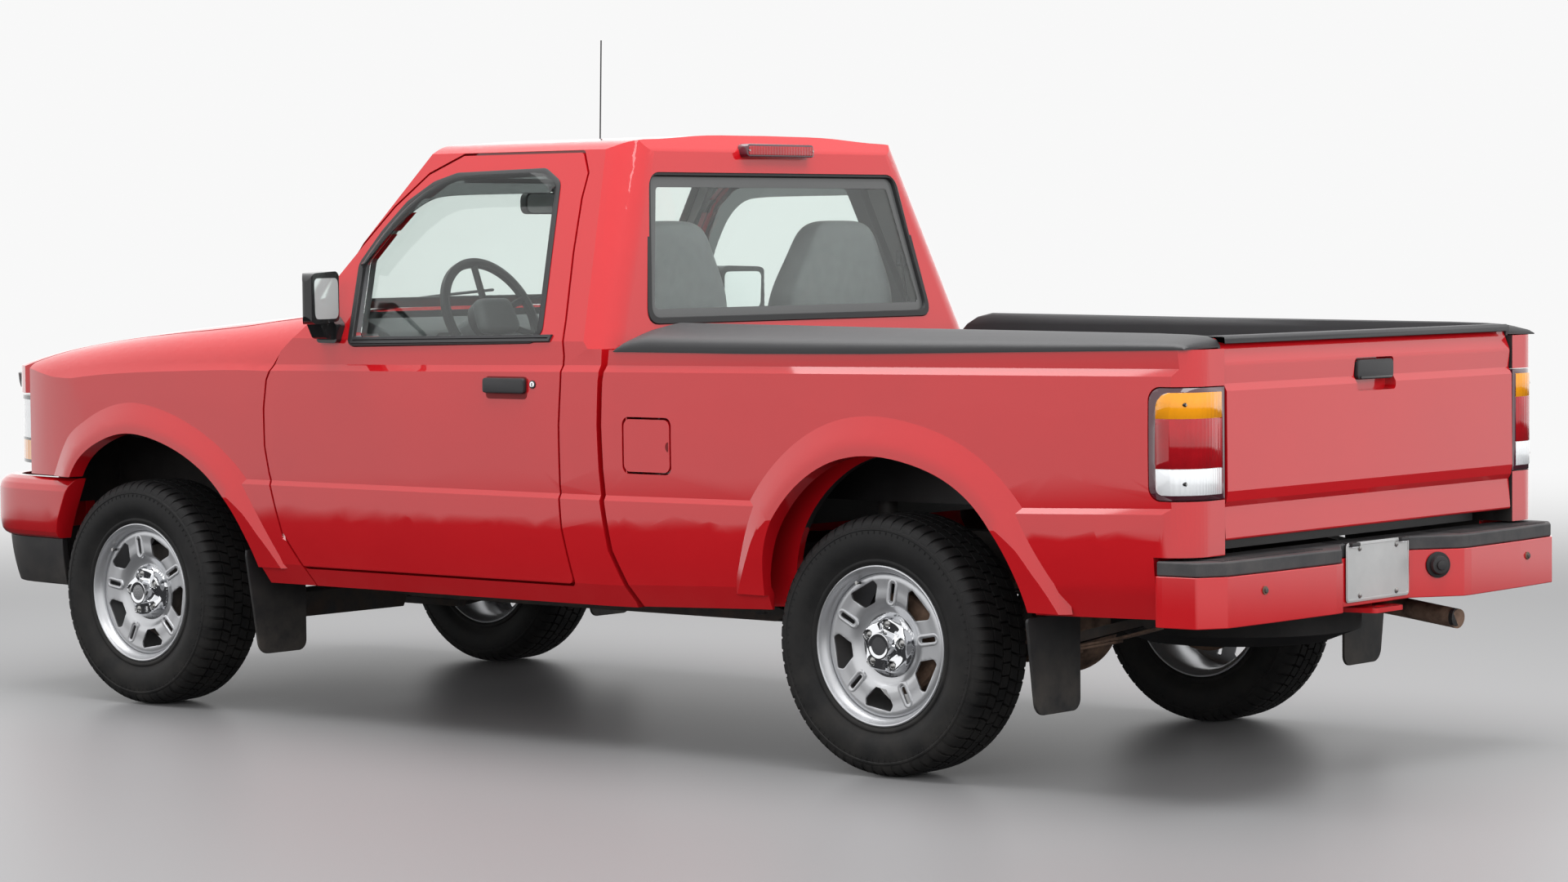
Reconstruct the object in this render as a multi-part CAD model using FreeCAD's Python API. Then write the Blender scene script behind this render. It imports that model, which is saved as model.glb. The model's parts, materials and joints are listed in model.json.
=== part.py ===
import FreeCAD, Part
import math
import os

# A compact regular-cab pickup truck, in millimetres.
# +X is forward, +Y is the driver's left, +Z is up. The origin is on the ground,
# below the middle of the truck's length and width.

os.makedirs("parts", exist_ok=True)

# Driving dimensions
wheelbase = 2835.0
front_overhang = 868.0
rear_overhang = 1060.0
track_front = 1486.0
track_rear = 1455.0
body_half = 848.0        # half width of the plain body side
flare_half = 880.0       # half width over the wheel arch flares
axle_z = 338.0

# Wheels
tyre_r = axle_z
tyre_half = 112.0
rim_r = 208.0
rim_bore_r = 186.0
lip_w = 97.0             # half width of the rim over its lips
bead_r = 197.0
cap_r = 84.0
lug_circle_r = 57.15
lug_r = 8.0

# Body heights
belt_z = 1110.0
roof_z = 1680.0
roof_edge_z = 1636.0
floor_z = 466.0          # underside of the cab floor
floor_t = 22.0
sill_inner = body_half - 198.0
tunnel_half = 168.0
tunnel_z = 560.0
tumble = 0.405           # inward lean of the cab side for each unit of height

# Panels
skin = 22.0
flange = 24.0
door_gap = 7.0
hood_gap = 7.5
hood_edge_y = body_half - 126.0   # half width of the hood at its rear corners
door_depth = 105.0
frame_depth = 62.0
seat_fit = 0.3           # clearance of pieces that seat on others

# Cab, measured from the front axle
door_front_x = -577.0
door_top_y = body_half - 256.0    # no part of the door's top comes further in than this
hinge_back = 80.0        # the door hinge lies this far behind the door's front edge
pillar_out = body_half - 100.0
pillar_t = 48.0
firewall_x = -590.0
support_x = 600.0        # front face of the radiator support
screen_base_x = -583.0
screen_base_z = 1150.0
screen_slope = 0.818
screen_bow = 105.0
cab_back_x = -1893.0
back_slope = 0.177
cab_bed_gap = 18.0

hood_hinge_x = -648.0
hood_hinge_z = 1150.0
hood_lug_y = body_half - 214.0
hood_pin_r = 5.0
# The door turns about a line that leans in a little: height, and depth inside the plain body side
door_hinge_low = (600.0, 3.0)
door_hinge_high = (960.0, 12.0)
door_pin_r = 4.0
hinge_eye_r = 6.5

# Bed, measured from the rear axle
bed_end_x = -973.0
bed_inner_half = body_half - 151.0
bed_floor_z = 706.0
liner = 15.0
rail_front_z = 1088.0
rail_rear_z = 1108.0
cap_t = 32.0
gate_half = bed_inner_half - 7.0
gate_z0 = 640.0
gate_z1 = 1132.0
gate_t = 62.0
gate_hinge_x = -925.0
gate_hinge_z = 658.0
gate_pin_r = 9.0
fuel_gap = 6.0
fuel_pin_r = 2.0
fuel_hinge_back = 7.0
fuel_hinge_in = 1.0      # from the plain body side
house_inner_half = bed_inner_half - 184.0
house_half_len = 430.0
house_top_z = 852.0

# Steering
kingpin_y = track_front / 2.0 - 93.0
ball_low_z = 222.0
ball_high_z = 452.0
pin_r = 11.0
pin_fit = 0.05
wheel_fit = 0.05
stub_r = 22.0
stub_reach = 35.5        # the stub axle ends this far outside the wheel's middle

# Ladder frame
rail_w = 62.0
rail_end_x = 735.0       # the rails end here, where the front bumper's brackets seat
rail_y_front = 350.0
rail_y_rear = 440.0
rail_z = 395.0
rail_half_h = 55.0

beyond = body_half + 152.0   # a place outside everything across the truck
length = front_overhang + wheelbase + rear_overhang
front_x = length / 2.0 - front_overhang
rear_x = front_x - wheelbase


def fx(x):
    """A place given from the front axle."""
    return front_x + x


def rx(x):
    """A place given from the rear axle."""
    return rear_x + x


def vec(x, y, z):
    return FreeCAD.Vector(x, y, z)


def along(x, table):
    """The value at x on straight lines between the pairs of a table that falls or rises in x."""
    pairs = sorted(table)
    if x <= pairs[0][0]:
        return pairs[0][1]
    for (x0, v0), (x1, v1) in zip(pairs, pairs[1:]):
        if x <= x1:
            return v0 + (v1 - v0) * (x - x0) / (x1 - x0)
    return pairs[-1][1]


def in_xz(y):
    return lambda a, b: vec(a, y, b)


def in_yz(x):
    return lambda a, b: vec(x, a, b)


def in_xy(z):
    return lambda a, b: vec(a, b, z)


def loop(points, place, radius=0.0):
    """A closed wire through plane points with rounded corners; a third value sets one corner's radius."""
    count = len(points)
    corners = []
    for i in range(count):
        p, q, r = points[i - 1], points[i], points[(i + 1) % count]
        want = q[2] if len(q) > 2 else radius
        a = (p[0] - q[0], p[1] - q[1])
        b = (r[0] - q[0], r[1] - q[1])
        la = math.hypot(*a)
        lb = math.hypot(*b)
        a = (a[0] / la, a[1] / la)
        b = (b[0] / lb, b[1] / lb)
        turn = math.pi - math.acos(max(-1.0, min(1.0, a[0] * b[0] + a[1] * b[1])))
        if want <= 0.0 or turn < 0.02:
            corners.append((q[:2], None, q[:2]))
            continue
        tangent = min(want * math.tan(turn / 2.0), 0.47 * la, 0.47 * lb)
        real = tangent / math.tan(turn / 2.0)
        start = (q[0] + a[0] * tangent, q[1] + a[1] * tangent)
        end = (q[0] + b[0] * tangent, q[1] + b[1] * tangent)
        mid_dir = (a[0] + b[0], a[1] + b[1])
        size = math.hypot(*mid_dir)
        reach = real / math.cos(turn / 2.0) - real
        mid = (q[0] + mid_dir[0] / size * reach, q[1] + mid_dir[1] / size * reach)
        corners.append((start, mid, end))
    edges = []
    for i in range(count):
        start, mid, end = corners[i]
        if mid is not None:
            edges.append(Part.Arc(place(*start), place(*mid), place(*end)).toShape())
        after = corners[(i + 1) % count][0]
        if math.hypot(after[0] - end[0], after[1] - end[1]) > 1e-6:
            edges.append(Part.makeLine(place(*end), place(*after)))
    return Part.Wire(edges)


def spline(points, place):
    curve = Part.BSplineCurve()
    curve.interpolate([place(*p) for p in points])
    return curve.toShape()


def prism(wire, direction):
    return Part.Face(wire).extrude(direction)


def plate_y(points, y0, y1, radius=0.0):
    """An outline of x and z pairs, solid from y0 to y1."""
    return prism(loop(points, in_xz(y0), radius), vec(0, y1 - y0, 0))


def plate_x(points, x0, x1, radius=0.0):
    return prism(loop(points, in_yz(x0), radius), vec(x1 - x0, 0, 0))


def plate_z(points, z0, z1, radius=0.0):
    return prism(loop(points, in_xy(z0), radius), vec(0, 0, z1 - z0))


def block(x0, x1, y0, y1, z0, z1):
    low = vec(min(x0, x1), min(y0, y1), min(z0, z1))
    return Part.makeBox(abs(x1 - x0), abs(y1 - y0), abs(z1 - z0), low)


def rod(start, end, r):
    """A round bar from one point to another."""
    axis = end - start
    return Part.makeCylinder(r, axis.Length, start, axis)


def cyl_y(x, y0, y1, z, r):
    return Part.makeCylinder(r, y1 - y0, vec(x, y0, z), vec(0, 1, 0))


def flip(shape):
    """The same shape on the other side of the truck."""
    return shape.mirror(vec(0, 0, 0), vec(0, 1, 0))


def both(shape):
    return [shape, flip(shape)]


def shifted(shape, x=0.0, y=0.0, z=0.0):
    moved = shape.copy()
    moved.translate(vec(x, y, z))
    return moved


def fuse(shapes):
    result = shapes[0]
    if len(shapes) > 1:
        result = result.fuse(shapes[1:])
    return result.removeSplitter()


def solids_of(shape):
    """The shape's solids without slivers."""
    return [s for s in shape.Solids if s.Volume > 200.0]


def keep_largest(shape):
    return max(shape.Solids, key=lambda s: s.Volume)


nodes = {}


def save(name, shapes):
    """Keep one or more solids as a named piece."""
    if not isinstance(shapes, list):
        shapes = [shapes]
    found = []
    for shape in shapes:
        found.extend(solids_of(shape))
    nodes[name] = found[0] if len(found) == 1 else Part.makeCompound(found)


# Body side. The upper crease and the lower ledge run the whole length; x is from the front axle.
crease_line = [
    (835, 900), (545, 945), (398, 972), (141, 999), (-146, 1012), (-593, 1019), (-1923, 1033),
    (-3895, 1048),
]
ledge_line = [(545, 690), (-1900, 690), (-2474, 694), (-3192, 702), (-3895, 723)]
bottom_line = [(835, 393), (-1990, 393), (-2447, 412), (-3418, 450), (-3895, 455)]


def side_points(x, inset=0.0):
    """The body side across the truck, from above the upper crease down to the bottom edge."""
    crease = along(x, crease_line)
    ledge = along(x, ledge_line)
    bottom = along(x, bottom_line)
    w = body_half - inset
    return [
        (w - 11.0, crease + 14.0),
        (w, crease - 4.0),
        (w + 3.0, (crease + ledge) / 2.0),
        (w, ledge + 6.0),
        (w + 9.0, ledge - 8.0),
        (w + 8.0, ledge - 110.0),
        (w - 5.0, bottom + 60.0),
        (w - 34.0, bottom + inset),
    ]


def side_edges(x, inset=0.0):
    """The body side as edges that keep the creases sharp and the panels softly crowned."""
    p = side_points(x, inset)
    place = in_yz(fx(x))
    return [
        Part.makeLine(place(*p[0]), place(*p[1])),
        spline([p[1], p[2], p[3]], place),
        Part.makeLine(place(*p[3]), place(*p[4])),
        spline([p[4], p[5], p[6]], place),
        Part.makeLine(place(*p[6]), place(*p[7])),
    ]


def half_wire(x, top_points, inner_y, inset=0.0):
    """A closed half section: top edges from the inner side outward, the body side, and the way back."""
    place = in_yz(fx(x))
    sides = side_points(x, inset)
    edges = []
    for run in top_points:
        edges.append(spline(run, place) if len(run) > 2 else Part.makeLine(place(*run[0]), place(*run[1])))
    edges += side_edges(x, inset)
    low = sides[-1]
    first = top_points[0][0]
    edges.append(Part.makeLine(place(*low), place(inner_y, low[1])))
    edges.append(Part.makeLine(place(inner_y, low[1]), place(*first)))
    return Part.Wire(edges)


def loft(wires, ruled=False):
    return Part.makeLoft(wires, True, ruled)


# The nose in plan, from the centre to the body side: x from the front axle, then y
nose_line = [
    (834, 0), (
        826, body_half - 598.0,
    ), (800, body_half - 368.0), (752, body_half - 228.0), (690, body_half - 143.0),
    (
        612, body_half - 83.0,
    ), (530, body_half - 45.0), (420, body_half - 16.0), (250, body_half + 2.0), (60, body_half + 10.0),
]


def plan_wire(line, inset, z, back_x):
    """A closed outline in plan from a nose line of one side, moved inward by inset."""
    out = []
    for i, (x, y) in enumerate(line):
        before = line[max(0, i - 1)]
        after = line[min(len(line) - 1, i + 1)]
        tx = after[0] - before[0]
        ty = after[1] - before[1]
        size = math.hypot(tx, ty)
        nx, ny = (1.0, 0.0) if i == 0 else (ty / size, -tx / size)
        out.append((fx(x - nx * inset), y - ny * inset))
    line_points = [(x, -y) for x, y in reversed(out[1:])] + out
    place = in_xy(z)
    last = out[-1]
    edges = [
        spline(line_points, place),
        Part.makeLine(place(*last), place(fx(back_x), last[1])),
        Part.makeLine(place(fx(back_x), last[1]), place(fx(back_x), -last[1])),
        Part.makeLine(place(fx(back_x), -last[1]), place(last[0], -last[1])),
    ]
    return Part.Wire(edges)


def nose_prism(inset, z0, z1, back_x=-800.0):
    return prism(plan_wire(nose_line, inset, z0, back_x), vec(0, 0, z1 - z0))


# Front of the body
hood_line = [
    (-800, 1190), (-549, 1173), (-228, 1146), (-8, 1126), (290, 1093), (545, 1052), (700, 1008), (860, 936),
]
front_stations = [-800, -549, -228, -8, 290, 545, 700, 860]


def front_section(x, inset):
    z600 = along(x, hood_line) - inset
    crest = along(x, crease_line)
    first = side_points(x, inset)[0]
    crown = 20.0 * along(x, [(860, 0.5), (-800, 1.0)])
    mid_y = 715.0 - inset
    mid_z = z600 - 10.0
    rim_z = crest + 14.0
    top = [
        [(0.0, z600 + crown), (300.0, z600 + crown * 0.8), (600.0, z600), (mid_y, mid_z)],
        [(mid_y, mid_z), (792.0 - inset, mid_z - 0.36 * (mid_z - rim_z)), first],
    ]
    return half_wire(x, top, 0.0, inset)


def front_half(inset):
    return loft([front_section(x, inset) for x in front_stations])


def hood_outline(z, gap):
    """The hood in plan, out to the nose, grown or shrunk by gap."""
    back = fx(-530.0) - gap
    corner = fx(-652.0) - gap
    edge = hood_edge_y + gap
    place = in_xy(z)
    front = [
        (fx(-500), edge), (fx(100), edge + 4.0), (fx(380), edge + 16.0), (fx(545), edge + 52.0),
        (fx(900), edge + 60.0),
    ]
    mirrored = [(x, -y) for x, y in front]
    edges = [
        Part.Arc(place(corner, -edge), place(back, 0.0), place(corner, edge)).toShape(),
        Part.makeLine(place(corner, edge), place(*front[0])),
        spline(front, place),
        Part.makeLine(place(*front[-1]), place(*mirrored[-1])),
        spline(list(reversed(mirrored)), place),
        Part.makeLine(place(*mirrored[0]), place(corner, -edge)),
    ]
    return Part.Wire(edges)


hood_low_z = 928.0
# Door front line, x from the front axle and z
door_front_line = [
    (-750, 1172), (-700, 1125), (-632, 1071), (-588, 987), (-577, 904), (-579, 795), (-594, 720),
    (-650, 547), (-726, 450),
]
door_rear_line = [
    (-1789, 450), (-1755, 600), (-1744, 720), (-1743, 880), (-1750, 1000), (-1752, 1069), (-1736, 1167),
    (-1698, 1351), (-1676, 1500), (-1676, 1570),
]
door_top_line = [(-1640, 1628), (-1180, 1628), (-1060, 1576), (-958, 1485), (-858, 1362), (-797, 1283)]
cab_rear_line = [
    (-1997, 410), (-1925, 548), (-1900, 674), (-1891, 768), (-1886, 886), (-1890, 1004), (-1907, 1087),
]


def grown(points, gap):
    """Move each corner of a closed outline outward by gap."""
    count = len(points)
    area = 0.0
    for i in range(count):
        (x0, z0), (x1, z1) = points[i], points[(i + 1) % count]
        area += x0 * z1 - x1 * z0
    sign = 1.0 if area > 0 else -1.0
    out = []
    for i in range(count):
        p, q, r = points[i - 1], points[i], points[(i + 1) % count]
        n1 = ((q[1] - p[1]), -(q[0] - p[0]))
        n2 = ((r[1] - q[1]), -(r[0] - q[0]))
        l1 = math.hypot(*n1)
        l2 = math.hypot(*n2)
        n1 = (n1[0] / l1, n1[1] / l1)
        n2 = (n2[0] / l2, n2[1] / l2)
        scale = 1.0 + n1[0] * n2[0] + n1[1] * n2[1]
        out.append((
            q[0] + sign * gap * (n1[0] + n2[0]) / scale, q[1] + sign * gap * (n1[1] + n2[1]) / scale,
        ))
    return out


door_points = [(fx(x), z) for x, z in door_front_line + door_rear_line + door_top_line]
window_points = [(fx(x), z) for x, z in [
    (-924, 1112), (-1620, 1112), (-1653, 1138), (-1585, 1530), (-1513, 1577), (-1165, 1577), (-1085, 1545),
    (-1006, 1490), (-938, 1410), (-880, 1330),
]]


def door_prism(gap, y0, y1):
    return plate_y(grown(door_points, gap), y0, y1, 14.0)


def smooth_arch(points, place):
    """A wheel opening: one smooth curve closed by a straight bottom."""
    curve = spline(points, place)
    return Part.Wire([curve, Part.makeLine(place(*points[-1]), place(*points[0]))])


front_arch = [
    (-560, 380), (-506, 518), (-399, 665), (-270, 752), (-120, 805), (10, 819), (140, 786), (236, 722),
    (290, 630), (345, 510), (372, 380),
]
rear_arch = [
    (-500, 380), (-468, 523), (-411, 632), (-340, 716), (-245, 778), (-130, 815), (-10, 829), (105, 812),
    (200, 766), (285, 690), (340, 600), (360, 500), (362, 380),
]


def arch_prism(points, offset_x, y0, y1, grow=0.0):
    middle_x = (points[0][0] + points[-1][0]) / 2.0
    reach = (points[-1][0] - points[0][0]) / 2.0
    factor = 1.0 + grow / reach
    moved = [(
        offset_x + middle_x + (x - middle_x) * factor, axle_z + (z - axle_z) * factor,
    ) for x, z in points]
    return prism(smooth_arch(moved, in_xz(y0)), vec(0, y1 - y0, 0))


def flare(points, offset_x, low_z):
    """The raised band round a wheel opening: proud at its lip and fading out toward the ends."""
    middle_x = (points[0][0] + points[-1][0]) / 2.0
    reach = (points[-1][0] - points[0][0]) / 2.0
    wires = []
    for y, grow in [
        (body_half - skin, 118.0), (body_half - 1.0, 96.0), (flare_half - 6.0, 36.0), (flare_half, 12.0),
    ]:
        factor = 1.0 + grow / reach
        moved = [(
            offset_x + middle_x + (x - middle_x) * factor, axle_z + (z - axle_z) * factor,
        ) for x, z in points]
        wires.append(smooth_arch(moved, in_xz(y)))
    band = loft(wires, True)
    band = band.cut(arch_prism(points, offset_x, body_half - 200.0, flare_half + 50.0))
    fade = [
        (0.0, low_z - 60.0), (body_half - 8.0, low_z - 60.0), (body_half + 1.0, low_z, 60.0), (
            body_half + 19.0, low_z + 100.0, 120.0,
        ),
        (flare_half + 1.0, low_z + 210.0, 160.0), (flare_half + 1.0, 1100.0), (0.0, 1100.0),
    ]
    return band.common(plate_x(fade, offset_x - 900.0, offset_x + 900.0)).cut(block(
        offset_x - 900, offset_x + 900, 0, beyond, 0, low_z,
    ))


def front_side_region(gap):
    """Everything ahead of the door's front line."""
    line = list(reversed(grown(door_points, gap)[:len(door_front_line)]))
    far = fx(1200)
    points = line + [(line[-1][0] - 60.0, 1300.0), (far, 1300.0), (far, 300.0), (line[0][0] - 70.0, 300.0)]
    return plate_y(points, 0.0, beyond)


def door_axis_at(z):
    """Where the left door's leaning hinge line stands at height z."""
    low_z, low_in = door_hinge_low
    high_z, high_in = door_hinge_high
    return vec(
        fx(door_front_x - hinge_back),
        body_half - low_in - (high_in - low_in) * (z - low_z) / (high_z - low_z), z,
    )


def door_axis():
    """The direction of the left door's hinge line, upward."""
    line = door_axis_at(1000.0) - door_axis_at(0.0)
    return line.normalize()


def swept_door_edge():
    """The room that the door's lower front edge needs while it swings, with 5.5 mm to spare."""
    edge = door_prism(5.5, body_half - 20.0, body_half + 9.5)
    edge = edge.common(block(fx(-790), fx(-560), body_half - 148.0, beyond, 440.0, 1000.0))
    turned = []
    for step in range(1, 14):
        copy = edge.copy()
        copy.rotate(door_axis_at(780.0), door_axis(), -5.0 * step)
        turned.append(copy)
    return turned


def make_front():
    outer = front_half(0.0)
    inner = front_half(skin)
    nose_out = nose_prism(0.0, 300.0, 1400.0, -900.0)
    nose_in = nose_prism(skin, 300.0, 1400.0, -1200.0)
    shell = outer.common(nose_out).cut(inner.common(nose_in))
    hood_cut = prism(hood_outline(hood_low_z, 0.0), vec(0, 0, 400.0))
    hood_half = shell.common(hood_cut).common(block(fx(-900), fx(900), 0, beyond, hood_low_z, 1400))
    hood = fuse([keep_largest(hood_half), flip(keep_largest(hood_half))])
    lug = block(
        fx(hood_hinge_x) - 8.0, fx(-600), hood_lug_y, hood_lug_y + 12.0, hood_hinge_z - 8.0,
        hood_hinge_z + 9.0,
    )
    lug = lug.cut(cyl_y(
        fx(hood_hinge_x), hood_lug_y - 5.0, hood_lug_y + 17.0, hood_hinge_z, hood_pin_r + pin_fit,
    ))
    save("hood", keep_largest(fuse([hood, lug, flip(lug)])))
    fender = shell.cut(prism(hood_outline(300.0, hood_gap), vec(0, 0, 1200.0)))
    fender = fender.cut(screen_prism(-9.0).common(block(
        fx(-1200), fx(-500), 0.0, pillar_out, 1120.0, 1400.0,
    )))
    fender = fender.common(front_side_region(door_gap))
    fender = fender.cut(block(fx(535), fx(1000), 0, beyond, 0, 1400))
    fender = fender.cut(block(fx(200), fx(1000), 0, beyond, 0, 680))
    fender = fender.cut(arch_prism(front_arch, front_x, body_half - 348.0, beyond))
    fender = fender.cut(block(fx(-1000), fx(1000), 0, body_half - 248.0, 0, 1400))
    fender = fender.cut(block(fx(-1200), fx(-500), 0.0, hood_edge_y + hood_gap, 0.0, 1400.0))
    fender = fender.cut(block(fx(-1000), fx(1000), 0.0, body_half - 58.0, 0.0, 430.0))
    band = flare(front_arch, front_x, 440.0).cut(block(fx(236), fx(1000), 0, beyond, 0, 680))
    band = band.common(front_side_region(door_gap + 14.0))
    fender = keep_largest(fuse([keep_largest(fender), keep_largest(band)]))
    fender = keep_largest(fender.cut(swept_door_edge()))
    save("fender_left", fender)
    save("fender_right", flip(fender))


def make_deflector():
    """The dark wind deflector that wraps the hood's front edge."""
    ring = nose_prism(-9.0, 300.0, 1400.0, -900.0).cut(nose_prism(-6.0 * seat_fit, 300.0, 1400.0, -900.0))
    half = keep_largest(ring.common(block(fx(600), fx(900), 0.0, 720.0, 936.0, 972.0)))
    save("hood_deflector", half.fuse(flip(half)))


def make_lamps_and_grille():
    band = nose_prism(4.0, 712.0, 918.0).cut(nose_prism(78.0, 700.0, 930.0))
    lamp = band.common(block(fx(538), fx(900), 432.0, 820.0, 700, 930))
    bosses = [rod(vec(fx(support_x) + seat_fit, y, z), vec(fx(x), y, z), 8.0) for x, y, z in (
        (745.0, 470.0, 750.0), (745.0, 470.0, 880.0), (680.0, 600.0, 815.0),
    )]
    lamp = keep_largest(fuse([keep_largest(lamp)] + bosses))
    save("headlamps", both(lamp))
    front = nose_prism(2.0, 716.0, 918.0).cut(nose_prism(44.0, 700.0, 930.0))
    front = front.common(block(fx(538), fx(900), -428.0, 428.0, 700, 930))
    for side in (-1.0, 1.0):
        y0 = min(side * 10.0, side * 404.0)
        y1 = max(side * 10.0, side * 404.0)
        front = front.cut(block(fx(600), fx(900), y0, y1, 738.0, 896.0))
    bars = []
    for row in range(3):
        z = 768.0 + row * 40.0
        bar = nose_prism(12.0, z, z + 12.0).cut(nose_prism(36.0, z - 5.0, z + 20.0))
        bars.append(bar.common(block(fx(538), fx(900), -410.0, 410.0, 700, 930)))
    posts = []
    for y in (-380.0, 380.0):
        for z in (727.0, 907.0):
            posts.append(rod(vec(fx(support_x) + seat_fit, y, z), vec(fx(795), y, z), 8.0))
    save("grille", fuse([front] + bars + posts))


def make_front_bumper():
    """The painted bumper with rounded top and bottom edges, and the black valance that tapers below it."""
    line = [
        (868, 0), (
            860, body_half - 588.0,
        ), (838, body_half - 368.0), (781, body_half - 148.0), (730, body_half - 78.0),
        (658, body_half - 33.0), (520, body_half - 2.0), (375, body_half + 14.0), (240, body_half + 22.0),
    ]
    rounding = (
        (486, 30.0), (493, 17.0), (506, 7.0), (540, 0.0), (634, 0.0), (652, 7.0), (665, 20.0), (673, 38.0),
    )
    outer = loft([loop_line(line, inset, z) for z, inset in rounding], True)
    inner = prism(loop_line(line, 70.0, 470.0), vec(0, 0, 240.0))
    bumper = outer.cut(inner)
    arch = arch_prism(front_arch, front_x, body_half - 348.0, beyond, 10.0)
    bumper = bumper.cut(arch).cut(flip(arch))
    bumper = bumper.cut(block(fx(-900), fx(262), -beyond, beyond, 0, 900))
    horn = block(fx(rail_end_x), fx(800), rail_y_front - 30.0, rail_y_front + 30.0, 490.0, 566.0)
    save("front_bumper", keep_largest(fuse([keep_largest(bumper), horn, flip(horn)])))
    low_outer = loft([loop_line(line, inset, z) for z, inset in (
        (340, 62.0), (400, 46.0), (486 - seat_fit, 34.0),
    )])
    low_inner = loft([loop_line(line, inset, z) for z, inset in ((330, 92.0), (400, 76.0), (500, 64.0))])
    valance = low_outer.cut(low_inner)
    turn_room = math.hypot(tyre_r, track_front / 2.0 + tyre_half - kingpin_y) + 8.0
    room = Part.makeCylinder(turn_room, 900.0, vec(fx(0), kingpin_y, 0))
    valance = valance.cut(block(fx(-900), fx(350), -beyond, beyond, 0, 900)).cut(room).cut(flip(room))
    save("front_valance", keep_largest(valance))


def loop_line(line, inset, z):
    """A closed plan outline from a bumper line of one side."""
    return plan_wire(line, inset, z, 100.0)


def screen_prism(inset):
    """Everything behind the bowed and leaning windscreen surface, moved back by inset."""
    place = in_xy(screen_base_z - 60.0)
    shift = screen_slope * 60.0
    base = fx(screen_base_x) - inset * 1.3 + shift
    edge_x = base - screen_bow - 40.0
    half_w = 900.0
    outline = Part.Wire([
        Part.Arc(place(edge_x, -half_w), place(base, 0.0), place(edge_x, half_w)).toShape(),
        Part.makeLine(place(edge_x, half_w), place(fx(-2300), half_w)),
        Part.makeLine(place(fx(-2300), half_w), place(fx(-2300), -half_w)),
        Part.makeLine(place(fx(-2300), -half_w), place(edge_x, -half_w)),
    ])
    rise = 760.0
    return prism(outline, vec(-screen_slope * rise, 0, rise))


cab_stations = (-560.0, -1200.0, -1900.0, -2020.0)


def cab_section(x, inset):
    """Half of the cab across the truck: the body side and the leaning greenhouse above it."""
    first = side_points(x, inset)[0]
    w_belt = body_half - 16.0 - inset
    top_z = roof_edge_z - inset
    w_top = w_belt - tumble * (top_z - belt_z)
    crown = roof_z - inset
    runs = [
        [
            (0.0, crown), (300.0, crown - 4.0), (500.0, crown - 16.0), (w_top - 30.0, crown - 27.0),
            (w_top, top_z),
        ],
        [(w_top, top_z), (w_belt, belt_z)],
        [(w_belt, belt_z), first],
    ]
    return half_wire(x, runs, 0.0, inset)


def cab_block(inset, low_z):
    """The whole cab as a solid, moved inward by inset."""
    half = loft([cab_section(x, inset) for x in cab_stations], True)
    full = fuse([half, flip(half)])
    half_w = beyond
    upper = screen_prism(inset).common(block(fx(-2400), fx(0), -half_w, half_w, screen_base_z, 1900.0))
    lower = block(fx(-2300), fx(firewall_x) - inset, -half_w, half_w, low_z, screen_base_z)
    front_cut = fuse([upper, lower])
    back = fx(cab_back_x) + inset
    back_points = [
        (fx(-100), low_z), (back, low_z), (back, screen_base_z),
        (back + back_slope * 480.0, screen_base_z + 480.0, 60.0),
        (back + back_slope * 480.0 + 60.0, 1720.0), (fx(-100), 1720.0),
    ]
    side_view = plate_y(back_points, -half_w, half_w)
    return full.common(front_cut).common(side_view)


def door_hinge(z):
    """One hinge arm of the cab: from the pillar out to an eye round the door's pin."""
    at = door_axis_at(z)
    x, y = at.x, at.y
    arm = [
        (x - 30.0, pillar_out - 5.0), (x - 9.0, pillar_out - 5.0), (x - 8.0, y - 16.0),
        (x + 2.0, y - 5.0), (x - 5.0, y + 1.0), (x - 30.0, y - 22.0),
    ]
    eye = Part.makeCylinder(hinge_eye_r, 22.0, at - door_axis() * 11.0, door_axis())
    foot = block(x - 30.0, x + 72.0, pillar_out - 40.0, pillar_out - 2.0, z - 11.0, z + 11.0)
    hinge = fuse([plate_z(arm, z - 11.0, z + 11.0), foot, eye])
    return hinge.cut(Part.makeCylinder(door_pin_r + pin_fit, 40.0, at - door_axis() * 20.0, door_axis()))


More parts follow.
